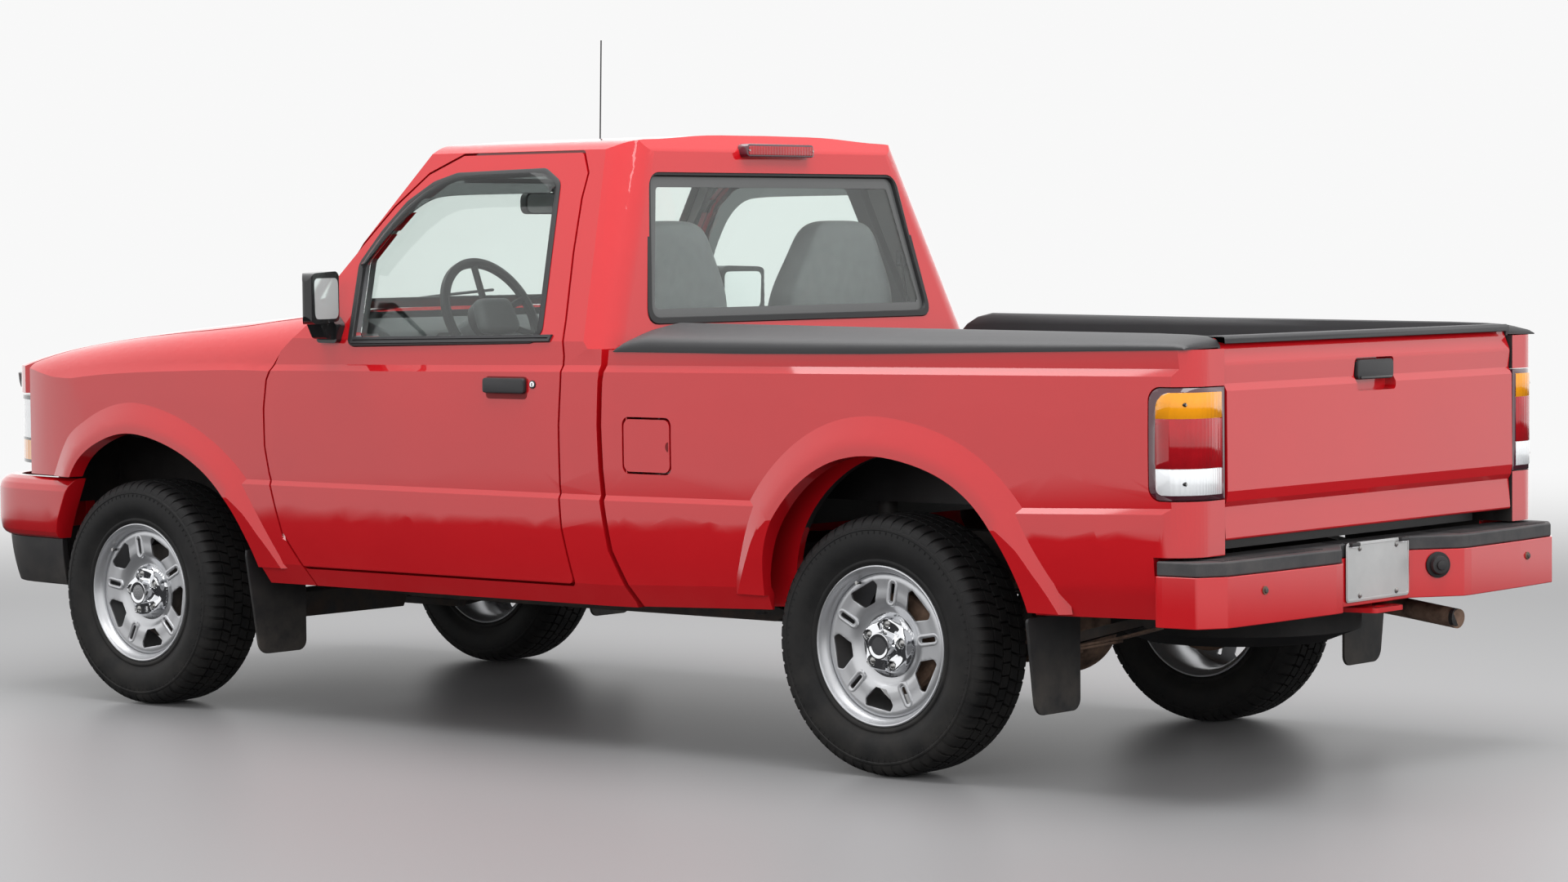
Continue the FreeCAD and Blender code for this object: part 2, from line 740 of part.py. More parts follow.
def make_cab():
    outer = cab_block(0.0, 385.0)
    inner = cab_block(46.0, floor_z + floor_t)
    hinge_x = fx(door_front_x - hinge_back)
    foot_wall = block(hinge_x - 60.0, fx(0), pillar_out - pillar_t, beyond, 0.0, 1140.0)
    inner = inner.cut(foot_wall).cut(flip(foot_wall))
    # Above the belt the rear corners are round; the lean of the side is kept by lofting the corner with it
    tall = []
    for z, half_w, back in [
        (1090.0, body_half + 2.0, 0.0),
        (1700.0, body_half - 16.0 - tumble * 590.0 + 2.0, back_slope * 550.0),
    ]:
        b = fx(cab_back_x) + back
        tall.append(loop(
            [(fx(0), -half_w), (fx(0), half_w), (b, half_w, 110.0), (b, -half_w, 110.0)], in_xy(z),
        ))
    rounder = loft(tall, True)
    lower = block(fx(-2300), fx(0), -beyond, beyond, 300, 1090.0)
    outer = outer.common(fuse([rounder, lower]))
    shell = outer.cut(inner)
    below = block(fx(-2300), fx(0), -sill_inner, sill_inner, 0.0, floor_z)
    tunnel = block(
        fx(cab_back_x), fx(firewall_x) - 10.0, -tunnel_half, tunnel_half, floor_z - 1.0, tunnel_z,
    )
    tunnel_room = block(fx(-2300), fx(0), -tunnel_half + 18.0, tunnel_half - 18.0, 0.0, tunnel_z - 18.0)
    shell = fuse([shell.cut(below), tunnel]).cut(tunnel_room)
    # The side openings: a rebate for the door's flange and a smaller opening behind it
    side = loft([cab_section(x, 0.0) for x in cab_stations], True)
    deep = shifted(side, y=-flange - 6.0)
    rebate = door_prism(door_gap, door_top_y, beyond).cut(deep)
    opening = door_prism(-20.0, door_top_y - 20.0, beyond)
    for cutter in (rebate, opening):
        shell = shell.cut(cutter).cut(flip(cutter))
    ahead = block(hinge_x - 30.0, fx(0), pillar_out, beyond, 0.0, 1168.0)
    shell = shell.cut(ahead).cut(flip(ahead))
    # Nothing of the cab stands above the hood and the fenders ahead of the windscreen
    wing = front_side_region(0.0).common(block(fx(-1200), fx(300), pillar_out, beyond, 0.0, 1168.0))
    shell = shell.cut(wing).cut(flip(wing))
    under = front_half(skin + 8.0)
    above = block(fx(-760), fx(0), 0.0, beyond, 900.0, 1400.0).cut(under).cut(screen_prism(0.0))
    shell = shell.cut(above).cut(flip(above))
    lug_room = block(
        fx(hood_hinge_x) - 14.0, fx(-580), hood_lug_y - seat_fit, hood_lug_y + 12.0 + seat_fit, 1100.0,
        1200.0,
    )
    shell = shell.cut(lug_room).cut(flip(lug_room))
    hinges = []
    for z, depth in (door_hinge_low, door_hinge_high):
        hinges.append(door_hinge(z))
    for y0, y1 in (
        (hood_lug_y - 12.0, hood_lug_y - seat_fit), (hood_lug_y + 12.0 + seat_fit, hood_lug_y + 24.0),
    ):
        hinges.append(block(
            fx(hood_hinge_x) - 7.0, fx(hood_hinge_x) + 7.0, y0, y1, 1090.0, hood_hinge_z + 8.0,
        ))
    hinges.append(cyl_y(fx(hood_hinge_x), hood_lug_y - 12.0, hood_lug_y + 24.0, hood_hinge_z, hood_pin_r))
    shell = fuse([shell] + hinges + [flip(h) for h in hinges])
    quarter = side.cut(loft([cab_section(x, 30.0) for x in cab_stations], True))
    quarter = keep_largest(quarter.common(block(
        fx(-2020), fx(-1884), body_half - 70.0, beyond, 385.0, 760.0,
    )))
    shell = fuse([shell, quarter, flip(quarter)])
    rear_edge = [(fx(x), z) for x, z in cab_rear_line]
    around = [(fx(-2300), 300.0), (fx(-2010), 300.0)] + rear_edge + [
        (fx(-1908), 1200.0), (fx(-2300), 1200.0),
    ]
    behind = plate_y(around, body_half - 108.0, beyond)
    shell = shell.cut(behind).cut(flip(behind))
    # Windows
    screen = plate_x(
        [(-700, 1180, 60), (700, 1180, 60), (585, 1622, 70), (-585, 1622, 70)], fx(-1120), fx(-400),
    )
    shell = shell.cut(screen)
    window = plate_x(
        [(-625, 1162, 50), (625, 1162, 50), (548, 1572, 50), (-548, 1572, 50)], fx(-2000), fx(-1700),
    )
    shell = shell.cut(window)
    save("cab_shell", keep_largest(shell))
    glass_outer = cab_block(16.0, 1000.0)
    glass_inner = cab_block(22.0, 900.0)
    pane = glass_outer.cut(glass_inner)
    front_pane = pane.common(plate_x(
        [
            (-698, 1182, 58), (698, 1182, 58), (583, 1620, 68), (-583, 1620, 68),
        ], fx(-1120), fx(-400),
    ))
    rear_pane = pane.common(plate_x(
        [(-605, 1182, 40), (605, 1182, 40), (530, 1552, 40), (-530, 1552, 40)], fx(-2000), fx(-1700),
    ))
    save("cab_glass", [keep_largest(front_pane), keep_largest(rear_pane)])
    seal_outer = cab_block(-4.0, 1000.0)
    seal_inner = cab_block(30.0, 900.0)
    seal = seal_outer.cut(seal_inner)
    seal = seal.common(plate_x(
        [(-624.7, 1162.3, 50), (624.7, 1162.3, 50), (547.7, 1571.7, 50), (-547.7, 1571.7, 50)], fx(-2000),
        fx(-1700),
    ))
    seal = seal.cut(plate_x(
        [(-605.3, 1181.7, 40), (605.3, 1181.7, 40), (530.3, 1552.3, 40), (-530.3, 1552.3, 40)], fx(-2000),
        fx(-1700),
    ))
    save("rear_window_seal", keep_largest(seal))
    return side


def make_door(side):
    """The door: an outer flange as large as the rebate, and a thick inner part with its window."""
    outer_skin = side.cut(shifted(side, y=-flange))
    thick = shifted(side, y=-flange + 1.0).cut(shifted(side, y=-door_depth))
    thin_cut = block(fx(-2000), fx(0), 0.0, beyond, 1120.0, 1800.0).cut(shifted(side, y=-frame_depth))
    upper = thick.common(thin_cut)
    lower = thick.common(block(fx(-2000), fx(0), 0.0, beyond, 0.0, 1121.0))
    hinge_x = fx(door_front_x - hinge_back)
    panel = outer_skin.common(door_prism(0.0, door_top_y + 7.0, beyond))
    body = fuse([lower, upper]).common(door_prism(-32.0, door_top_y - 8.0, beyond))
    body = body.cut(block(hinge_x - 38.0, fx(0), 0.0, beyond, 0.0, 1190.0))
    door = fuse([panel, body])
    for z, depth in (door_hinge_low, door_hinge_high):
        at = door_axis_at(z)
        eye_room = Part.makeCylinder(hinge_eye_r + 2.5, 28.0, at - door_axis() * 14.0, door_axis())
        arm_room = block(hinge_x - 38.0, hinge_x + 24.0, at.y - 34.0, at.y - 2.0, z - 14.0, z + 14.0)
        pin = Part.makeCylinder(door_pin_r, 44.0, at - door_axis() * 22.0, door_axis())
        door = fuse([door.cut(fuse([eye_room, arm_room])), pin])
    door = door.cut(plate_y(window_points, 300.0, beyond, 20.0))
    door = keep_largest(door)
    pane = shifted(side, y=-34.0).cut(shifted(side, y=-39.0))
    pane = pane.common(plate_y(grown(window_points, -seat_fit), 300.0, beyond, 20.0))
    save("door_left", door)
    save("door_right", flip(door))
    save("door_glass_left", keep_largest(pane))
    save("door_glass_right", flip(keep_largest(pane)))


def make_mirrors():
    """Door mirrors: a base on the window's front corner, a short arm and a leaning housing."""
    foot = [
        (fx(-800), 1098, 12), (fx(-884), 1098, 12), (fx(-884), 1150, 12), (fx(-850), 1176, 12),
        (fx(-806), 1146, 12),
    ]
    base = plate_y(foot, body_half - 68.0, body_half + 4.0)
    y = body_half
    arm = plate_x(
        [(y - 14, 1104, 8), (y + 34, 1112, 16), (y + 62, 1166, 8), (y + 4, 1166, 8)], fx(-872), fx(-816),
    )
    plan = [
        (fx(-884), y - 12, 8), (fx(-934), y + 148, 10), (fx(-906), y + 156, 18), (fx(-862), y + 112, 50),
        (fx(-836), y + 30, 40), (fx(-844), y - 10, 14),
    ]
    side = [(y - 14, 1160, 26), (y + 156, 1152, 36), (y + 154, 1298, 36), (y - 10, 1304, 26)]
    head = plate_z(plan, 1140.0, 1310.0).common(plate_x(side, fx(-1000), fx(-780)))
    mirror = fuse([base, arm, keep_largest(head)])
    cutter = loft([cab_section(x, 0.0) for x in cab_stations], True)
    mirror = keep_largest(mirror.cut(shifted(cutter, y=seat_fit)))
    save("mirror_left", mirror)
    save("mirror_right", flip(mirror))


# Bed
bed_front_line = [(x - cab_bed_gap, z) for x, z in cab_rear_line]


def rail_height(x):
    return along(x, [(-1880, rail_front_z), (-3895, rail_rear_z)])


def bed_section(x, inner_y, inset=0.0):
    first = side_points(x, inset)[0]
    rail = rail_height(x) - inset
    runs = [
        [(inner_y, rail), (body_half - 8.0 - inset, rail)],
        [(body_half - 8.0 - inset, rail), first],
    ]
    return half_wire(x, runs, inner_y, inset)


def bed_tail_wire(z, inset):
    """Plan of the bed with its round rear corners."""
    r = 100.0 - inset
    half = body_half + 12.0 - inset
    end = rx(bed_end_x) + inset
    return loop([(fx(-1700), -half), (fx(-1700), half), (end, half, r), (end, -half, r)], in_xy(z))


def rear_leaning(z0, z1, inset):
    return prism(bed_tail_wire(z0, inset), vec(0, 0, z1 - z0))


lamp_z0 = 744.0
lamp_z1 = 1015.0
lamp_side_x = -856.0
fuel_x0 = -2148.0
fuel_x1 = -1985.0
fuel_z0 = 763.0
fuel_z1 = 904.0


def lamp_outline(grow):
    """The tail lamp seen from the side, with round front corners."""
    x0 = rx(-1100)
    x1 = rx(lamp_side_x) + grow
    low = lamp_z0 - grow
    high = lamp_z1 + grow
    return [(x0, low), (x1, low, 34.0), (x1, high, 34.0), (x0, high)]


def fuel_outline(grow, r):
    x0 = fx(fuel_x0) - grow
    x1 = fx(fuel_x1) + grow
    return [
        (x0, fuel_z0 - grow, r), (x1, fuel_z0 - grow, r), (x1, fuel_z1 + grow, r), (x0, fuel_z1 + grow, r),
    ]


def make_bed():
    stations = (-1880.0, -2474.0, -3192.0, -3895.0)
    outer = loft([bed_section(x, bed_inner_half) for x in stations], True)
    inner = loft([bed_section(x, bed_inner_half + skin, skin) for x in stations], True)
    outer = outer.common(rear_leaning(300, 1300, 0.0))
    inner = inner.common(rear_leaning(200, 1300, 26.0))
    front = [(fx(x), z) for x, z in bed_front_line]
    around = front + [
        (fx(-1935), 1300.0), (rx(-1200), 1300.0), (rx(-1200), 300.0), (front[0][0] - 60.0, 300.0),
    ]
    region = plate_y(around, 0.0, beyond)
    behind = [(x - 30.0, z) for x, z in front]
    behind += [(fx(-1960), 1300.0), (rx(-1200), 1300.0), (rx(-1200), 200.0), (front[0][0] - 90.0, 200.0)]
    hollow_region = plate_y(behind, 0.0, beyond)
    lower_open = block(fx(-2100), rx(-930), bed_inner_half + skin, body_half - 40.0, 300.0, 600.0)
    side = outer.common(region)
    side = side.cut(inner.common(hollow_region)).cut(lower_open.common(hollow_region))
    side = side.cut(arch_prism(rear_arch, rear_x, body_half - 348.0, beyond))
    band = flare(rear_arch, rear_x, 452.0)
    side = fuse([keep_largest(side), keep_largest(band)])
    lamp_room = plate_y(lamp_outline(3.0), bed_inner_half - 5.0, beyond)
    lamp_room = lamp_room.cut(rear_leaning(600, 1100, 62.0 + seat_fit))
    side = side.cut(lamp_room).cut(block(rx(-1200), rx(-872), 0.0, beyond, 0.0, 606.0))
    gate_bore = cyl_y(
        rx(gate_hinge_x), bed_inner_half - 97.0, bed_inner_half + skin + 5.0, gate_hinge_z,
        gate_pin_r + pin_fit,
    )
    side = keep_largest(side.cut(gate_bore))
    save("bed_side_right", flip(side))
    pocket = plate_y(fuel_outline(fuel_gap, 22.0), body_half - 70.0, beyond)
    cup = plate_y(fuel_outline(12.0, 30.0), body_half - 78.0, body_half - 10.0)
    side_left = fuse([side, cup]).cut(pocket)
    middle = vec(fx((fuel_x0 + fuel_x1) / 2.0), body_half - 71.0, (fuel_z0 + fuel_z1) / 2.0)
    filler = Part.makeCylinder(32.0, 34.0, middle, vec(0, 1, 0))
    fuel_axis = vec(fx(fuel_x1) - fuel_hinge_back, body_half - fuel_hinge_in, 0)
    pin_low = fuel_z0 - fuel_gap - 8.0
    pin_high = fuel_z1 + fuel_gap + 8.0
    bore = Part.makeCylinder(
        fuel_pin_r + pin_fit, pin_high - pin_low + 2.0, fuel_axis + vec(0, 0, pin_low - 1.0),
    )
    save("bed_side_left", keep_largest(fuse([side_left, filler]).cut(bore)))
    flap = outer.cut(shifted(outer, y=-9.0)).common(plate_y(
        fuel_outline(0.0, 20.0), bed_inner_half + 3.0, beyond,
    ))
    pin = Part.makeCylinder(fuel_pin_r, pin_high - pin_low, fuel_axis + vec(0, 0, pin_low))
    save("fuel_door", keep_largest(fuse([keep_largest(flap), pin])))
    lamp = loft(
        [bed_section(x, bed_inner_half + 1.0) for x in stations], True,
    ).common(rear_leaning(600, 1100, 0.0))
    lamp = lamp.cut(rear_leaning(500, 1200, 62.0)).common(plate_y(
        lamp_outline(0.0), bed_inner_half - 3.0, beyond,
    ))
    save("tail_lamps", both(keep_largest(lamp)))


def make_high_lamp():
    lamp = plate_y(
        [(fx(-1838), 1618, 6), (fx(-1790), 1622, 6), (fx(-1790), 1672, 6), (fx(-1828), 1664, 6)], -153.0,
        153.0,
    )
    cab = cab_block(-seat_fit, 1000.0)
    save("high_brake_lamp", keep_largest(lamp.cut(cab)))


def make_rail_caps():
    """Black caps over the tops of the bed sides, a little proud of them on both sides."""
    stations = (-1945.0, -2600.0, -3200.0, -3790.0)
    wires = []
    for x in stations:
        z = rail_height(x) + seat_fit
        top = z + cap_t
        points = [
            (bed_inner_half - 6.0, z), (body_half - 2.0, z), (body_half - 4.0, top - 10.0, 7.0),
            (body_half - 24.0, top, 7.0), (bed_inner_half + 10.0, top, 7.0), (
                bed_inner_half - 6.0, top - 8.0, 7.0,
            ),
        ]
        wires.append(loop(points, in_yz(fx(x))))
    cap = loft(wires, True)
    cap = cap.common(rear_leaning(1000, 1300, 6.0))
    cap = cap.cut(block(rx(-1100), rx(bed_end_x) + gate_t + 12.0, 0.0, bed_inner_half, 900.0, 1300.0))
    save("rail_caps", both(keep_largest(cap)))


def house_points(grow):
    x0 = rear_x - house_half_len - grow
    x1 = rear_x + house_half_len + grow
    top = house_top_z + grow
    return [
        (x0, 500.0), (x0, bed_floor_z + 10.0), (x0 + 150.0, top, 120.0), (x1 - 150.0, top, 120.0),
        (x1, bed_floor_z + 10.0), (x1, 500.0),
    ]


def make_bed_box():
    """The load floor, the front wall, and each side wall with its wheel housing; open above and behind."""
    front = fx(-1925) - cab_bed_gap - 4.0
    back = rx(bed_end_x) + gate_t + 14.0
    inner_front = front - 58.0
    half = bed_inner_half - seat_fit
    side_in = half - liner
    low = bed_floor_z - 20.0
    high = rail_front_z - 2.0
    around = plate_y(
        house_points(12.0), house_inner_half - 12.0, half,
    ).common(block(rx(-900), rx(900), 0, beyond, low, 1200))
    room = plate_y(house_points(0.0), house_inner_half, half + 10.0)
    wall = fuse([block(back, inner_front - seat_fit, side_in, half, low, high), around]).cut(room)
    wall = keep_largest(wall)
    clear = plate_y(house_points(12.0 + seat_fit), house_inner_half - 12.0 - seat_fit, beyond)
    floor = block(back, inner_front - seat_fit, -side_in + seat_fit, side_in - seat_fit, low, bed_floor_z)
    floor = floor.cut(clear).cut(flip(clear))
    ribs = []
    for i in range(9):
        y = -460.0 + i * 115.0
        ribs.append(block(
            back + 20.0, inner_front - 30.0, y - 22.0, y + 22.0, bed_floor_z - 1.0, bed_floor_z + 7.0,
        ))
    for x in (860.0, 560.0, -560.0, -860.0):
        ribs.append(block(
            rx(x) - 35.0, rx(x) + 35.0, -620.0, 620.0, bed_floor_z - 96.0, bed_floor_z - 19.0,
        ))
    floor = keep_largest(fuse([floor] + ribs))
    face = [block(inner_front, front, -half, half, low, high)]
    face.append(block(inner_front + 6.0, front, -half + 12.0, half - 12.0, high - 1.0, rail_front_z + 22.0))
    for i in range(11):
        y = -550.0 + i * 110.0
        face.append(block(
            inner_front - 10.0, inner_front + 2.0, y - 28.0, y + 28.0, bed_floor_z + 30.0,
            rail_front_z - 30.0,
        ))
    save("bed_box", [floor, keep_largest(fuse(face)), wall, flip(wall)])


def make_tailgate():
    end = rx(bed_end_x)
    points = [
        (end + 2.0, gate_z0, 6), (end + gate_t, gate_z0, 6), (
            end + gate_t, gate_z1, 12,
        ), (end + 30.0, gate_z1, 12),
        (
            end + 4.0, gate_z1 - 62.0, 30,
        ), (end + 8.0, 1022.0), (end - 2.0, 1004.0), (end - 4.0, 760.0), (end, 735.0), (end + 8.0, 722.0),
    ]
    gate = plate_y(points, -gate_half, gate_half)
    # The latch handle stands in a pocket that leaves room for fingers below it
    pocket = plate_x(
        [(-94, 984, 12), (94, 984, 12), (94, 1068, 12), (-94, 1068, 12)], end - 10.0, end + 30.0,
    )
    gate = gate.cut(pocket)
    handle = plate_y(
        [(end + 2.0, 1018, 5), (end + 16.0, 1014, 5), (end + 22.0, 1060, 5), (end + 6.0, 1061, 5)], -84.0,
        84.0,
    )
    link = block(end + 14.0, end + 32.0, -30.0, 30.0, 1026.0, 1056.0)
    pin = cyl_y(rx(gate_hinge_x), gate_half - 5.0, bed_inner_half + skin, gate_hinge_z, gate_pin_r)
    save("tailgate", keep_largest(fuse([gate, handle, link, pin, flip(pin)])))


# Rear bumper, x from the rear axle and y
bumper_line = [
    (-973, 0), (-973, 165), (-1058, 296), (-1060, 330), (-1052, body_half - 248.0),
    (-1042, body_half - 58.0), (-1000, body_half + 13.0), (-905, body_half + 20.0),
]


def bumper_prism(inset, z0, z1, inner_x):
    """The step bumper in plan with its recessed middle, solid from z0 to z1."""
    pts = [(rx(x) + inset, y - (inset if y > body_half - 50.0 else 0.0)) for x, y in bumper_line[1:]]
    right = [(x, -y) for x, y in reversed(pts)]
    side_y = body_half + 20.0 - inset
    loop_points = pts + [(rx(inner_x), side_y), (rx(inner_x), -side_y)] + right
    loop_points = [(x, y, 12.0) for x, y in loop_points]
    clean = []
    for p in loop_points:
        if not clean or math.hypot(p[0] - clean[-1][0], p[1] - clean[-1][1]) > 2.0:
            clean.append(p)
    return prism(loop(clean, in_xy(z0)), vec(0, 0, z1 - z0))


def make_rear_bumper():
    outer = bumper_prism(0.0, 438.0, 562.0, -880.0)
    hollow = bumper_prism(16.0, 400.0, 548.0, -700.0)
    face = outer.cut(hollow)
    save("rear_bumper", keep_largest(face))
    pad = bumper_prism(4.0, 562.0 + seat_fit, 598.0, -884.0)
    save("bumper_pad", keep_largest(pad))


def make_tow_bracket():
    tongue = plate_z(
        [(rx(-905), -90, 8), (rx(-905), 90, 8), (rx(-1015), 70, 18), (rx(-1015), -70, 18)], 418.0, 430.0,
    )
    ball_hole = Part.makeCylinder(13.1, 60.0, vec(rx(-985), 0, 400.0))
    hanger = block(rx(-905), rx(-885), -90.0, 90.0, 418.0, 547.0)
    save("tow_bracket", fuse([tongue.cut(ball_hole), hanger]))


def rail_path():
    """Frame rail centre line: x, y and z, from the nose to the tail."""
    return [
        (fx(rail_end_x) - seat_fit, rail_y_front, 520.0), (fx(380), rail_y_front, 520.0), (
            fx(-300), rail_y_front, rail_z + 50.0,
        ), (fx(-560), rail_y_front + 20.0, rail_z + 8.0),
        (fx(-800), rail_y_rear, rail_z), (rx(640), rail_y_rear, rail_z), (rx(300), rail_y_rear, 560.0), (
            rx(-300), rail_y_rear, 560.0,
        ), (rx(-620), rail_y_rear, 500.0), (rx(-880) + seat_fit, rail_y_rear, 500.0),
    ]


def make_frame():
    wires = []
    for x, y, z in rail_path():
        low = z - rail_half_h
        high = z + rail_half_h
        points = [
            (y - rail_w / 2.0, low), (y + rail_w / 2.0, low), (y + rail_w / 2.0, high),
            (y - rail_w / 2.0, high),
        ]
        wires.append(Part.makePolygon([vec(x, p[0], p[1]) for p in points] + [vec(x, *points[0])]))
    rail = loft(wires, True)
    pads = []
    for x, top in (
        (fx(-900), floor_z), (rx(1150), floor_z), (rx(270), bed_floor_z - 20.0),
        (rx(-270), bed_floor_z - 20.0),
    ):
        base = rail_z_at(x) + rail_half_h - 1.0
        pads.append(Part.makeCylinder(28.0, top - seat_fit - base, vec(x, rail_y_rear, base)))
    save("frame_rails", both(fuse([rail] + pads)))
    members = [front_crossmember()]
    for x, z, half_h in (
        (fx(640), 520.0, 35.0), (fx(-900), 370.0, 26.0), (rx(1230), 362.0, 22.0), (rx(-250), 560.0, 30.0),
        (rx(-840), 545.0, 20.0),
    ):
        y = rail_y_at(x) - rail_w / 2.0 - seat_fit
        members.append(block(x - 40.0, x + 40.0, -y, y, z - half_h, z + half_h))
    save("cross_members", members)


def rail_y_at(x):
    return along(x, [(p[0], p[1]) for p in rail_path()])


def rail_z_at(x):
    return along(x, [(p[0], p[2]) for p in rail_path()])


def front_crossmember():
    x = front_x
    y = rail_y_at(x) - rail_w / 2.0 - seat_fit
    z = rail_z_at(x)
    return plate_x(
        [
            (-y, z - 50), (-y, z + 40), (-y + 40, z + 40), (-230, 300), (230, 300), (y - 40, z + 40),
            (y, z + 40), (y, z - 50), (220, 220), (-220, 220),
        ],
        x - 60.0, x + 60.0,
    )


# Wheels
def tyre_profile():
    """Section of the tyre as radius against width: beads, side walls, shoulders and tread."""
    half = [
        (bead_r, lip_w - 14.0), (rim_r + 4.0, lip_w - 11.0), (rim_r + 50.0, tyre_half),
        (tyre_r - 22.0, tyre_half - 9.0), (tyre_r, tyre_half - 42.0),
    ]
    return [(r, -w) for r, w in half] + list(reversed(half))


def revolve(points, centre):
    """Revolve pairs of radius and width about the axle through centre."""
    wire = Part.makePolygon([centre + vec(0, w, r) for r, w in points] + [centre + vec(
        0, points[0][1], points[0][0],
    )])
    return Part.Face(wire).revolve(centre, vec(0, 1, 0), 360.0)


def hexagon(at, r, low, height):
    """A six-sided bar along the axle with its middle at x and z of at."""
    points = [(
        at[0] + r * math.cos(math.radians(60.0 * k)), at[1] + r * math.sin(math.radians(60.0 * k)),
    ) for k in range(6)]
    return prism(loop(points, in_xz(low)), vec(0, height, 0))


def make_wheel(name, centre, side):
    """One wheel; side is 1 on the left and -1 on the right, and the open face looks outward."""
    zero = vec(0, 0, 0)
    tyre = revolve(tyre_profile(), zero)
    lip = lip_w
    face_w = 66.0
    barrel = [
        (rim_r, lip), (rim_bore_r, lip - 20.0), (rim_bore_r, 14.0 - lip), (rim_r, -lip),
        (bead_r - seat_fit, 13.0 - lip), (bead_r - seat_fit, lip - 13.0),
    ]
    ring = revolve(barrel, zero)
    disc = revolve([
        (rim_bore_r + 1.0, face_w), (112.0, face_w + 2.0), (88.0, face_w - 16.0), (0.01, face_w - 16.0),
        (0.01, face_w - 28.0), (92.0, face_w - 28.0), (114.0, face_w - 12.0), (rim_bore_r + 1.0, face_w - 12.0)], zero)
    cuts = []
    for i in range(5):
        window = loop([(-20, 118), (20, 118), (50, 150), (44, 168), (-44, 168), (-50, 150)], in_xz(-20.0))
        cutter = prism(window, vec(0, 140, 0))
        cutter.rotate(zero, vec(0, 1, 0), 72.0 * i)
        cuts.append(cutter)
        slot = prism(loop([(-6, 118), (6, 118), (7, 164), (-7, 164)], in_xz(-20.0)), vec(0, 140, 0))
        slot.rotate(zero, vec(0, 1, 0), 72.0 * i + 36.0)
        cuts.append(slot)
    disc = disc.cut(cuts)
    cap = revolve(
        [
            (0.01, face_w + 40.0), (30.0, face_w + 34.0), (34.0, face_w + 12.0), (cap_r, face_w),
            (cap_r, face_w - 16.0), (0.01, face_w - 16.0),
        ],
        zero,
    )
    recess = []
    lugs = []
    for i in range(5):
        a = math.radians(72.0 * i + 36.0)
        at = (lug_circle_r * math.sin(a), lug_circle_r * math.cos(a))
        recess.append(hexagon(at, 15.0, face_w - 10.0, 60.0))
        lugs.append(hexagon(at, lug_r + 2.0, face_w - 12.0, 16.0))
    cap = cap.cut(recess)
    boss = revolve(
        [
            (62.0, face_w - 28.0), (stub_r + wheel_fit, face_w - 28.0), (stub_r + wheel_fit, face_w - 66.0),
            (62.0, face_w - 66.0),
        ],
        zero,
    )
    rim = keep_largest(fuse([ring, disc, cap, boss] + lugs))
    for shape, kind in ((tyre, "tyre_"), (rim, "rim_")):
        placed = shape if side > 0 else flip(shape)
        placed = placed.copy()
        placed.translate(centre)
        save(kind + name, placed)


def make_wheels():
    for name, x, track, side in (
        ("front_left", front_x, track_front, 1.0), ("front_right", front_x, track_front, -1.0),
        ("rear_left", rear_x, track_rear, 1.0), ("rear_right", rear_x, track_rear, -1.0),
    ):
        make_wheel(name, vec(x, side * track / 2.0, axle_z), side)


def make_knuckles():
    """The steering knuckles with stub axle and brake disc, turning on upper and lower pins."""
    stub_out = track_front / 2.0 + stub_reach
    post = block(
        front_x - 26.0, front_x + 26.0, kingpin_y - 26.0, kingpin_y + 26.0, ball_low_z + 22.0,
        ball_high_z - 22.0,
    )
    pins = Part.makeCylinder(
        pin_r, ball_high_z - ball_low_z + 34.0, vec(front_x, kingpin_y, ball_low_z - 17.0),
    )
    stub = cyl_y(front_x, kingpin_y, stub_out, axle_z, stub_r)
    disc = cyl_y(front_x, kingpin_y + 28.0, kingpin_y + 46.0, axle_z, 128.0)
    arm = rod(
        vec(front_x, kingpin_y, axle_z - 60.0), vec(front_x - 130.0, kingpin_y - 24.0, axle_z - 60.0), 11.0,
    )
    knuckle = fuse([post, pins, stub, disc, arm])
    save("knuckle_left", knuckle)
    save("knuckle_right", flip(knuckle))


def make_front_suspension():
    arms = []
    for z, spread, rail_top in ((ball_low_z, 150.0, -60.0), (ball_high_z, 110.0, 30.0)):
        inner_y = rail_y_at(front_x) + rail_w / 2.0 + seat_fit
        inner_z = rail_z_at(front_x) + rail_top
        plate = plate_z(
            [
                (front_x - spread, inner_y), (front_x + spread, inner_y),
                (front_x + 20.0, kingpin_y + 18.0, 15), (front_x - 20.0, kingpin_y + 18.0, 15),
            ],
            z - 11.0, z + 11.0,
        )
        window = plate_z(
            [
                (front_x - spread + 46.0, inner_y + 30.0), (front_x + spread - 46.0, inner_y + 30.0),
                (front_x, kingpin_y - 60.0),
            ],
            z - 20.0, z + 20.0,
        )
        plate = plate.cut(window)
        bore = Part.makeCylinder(pin_r + pin_fit, 80.0, vec(front_x, kingpin_y, z - 40.0))
        for sx in (-1.0, 1.0):
            foot_z0 = min(z - 11.0, inner_z - 20.0)
            foot_z1 = max(z + 11.0, inner_z + 20.0)
            x_mid = front_x + sx * (spread - 26.0)
            plate = plate.fuse(block(x_mid - 24.0, x_mid + 24.0, inner_y, inner_y + 30.0, foot_z0, foot_z1))
        arms.append(plate.cut(bore).removeSplitter())
    save("front_arms", arms + [flip(a) for a in arms])


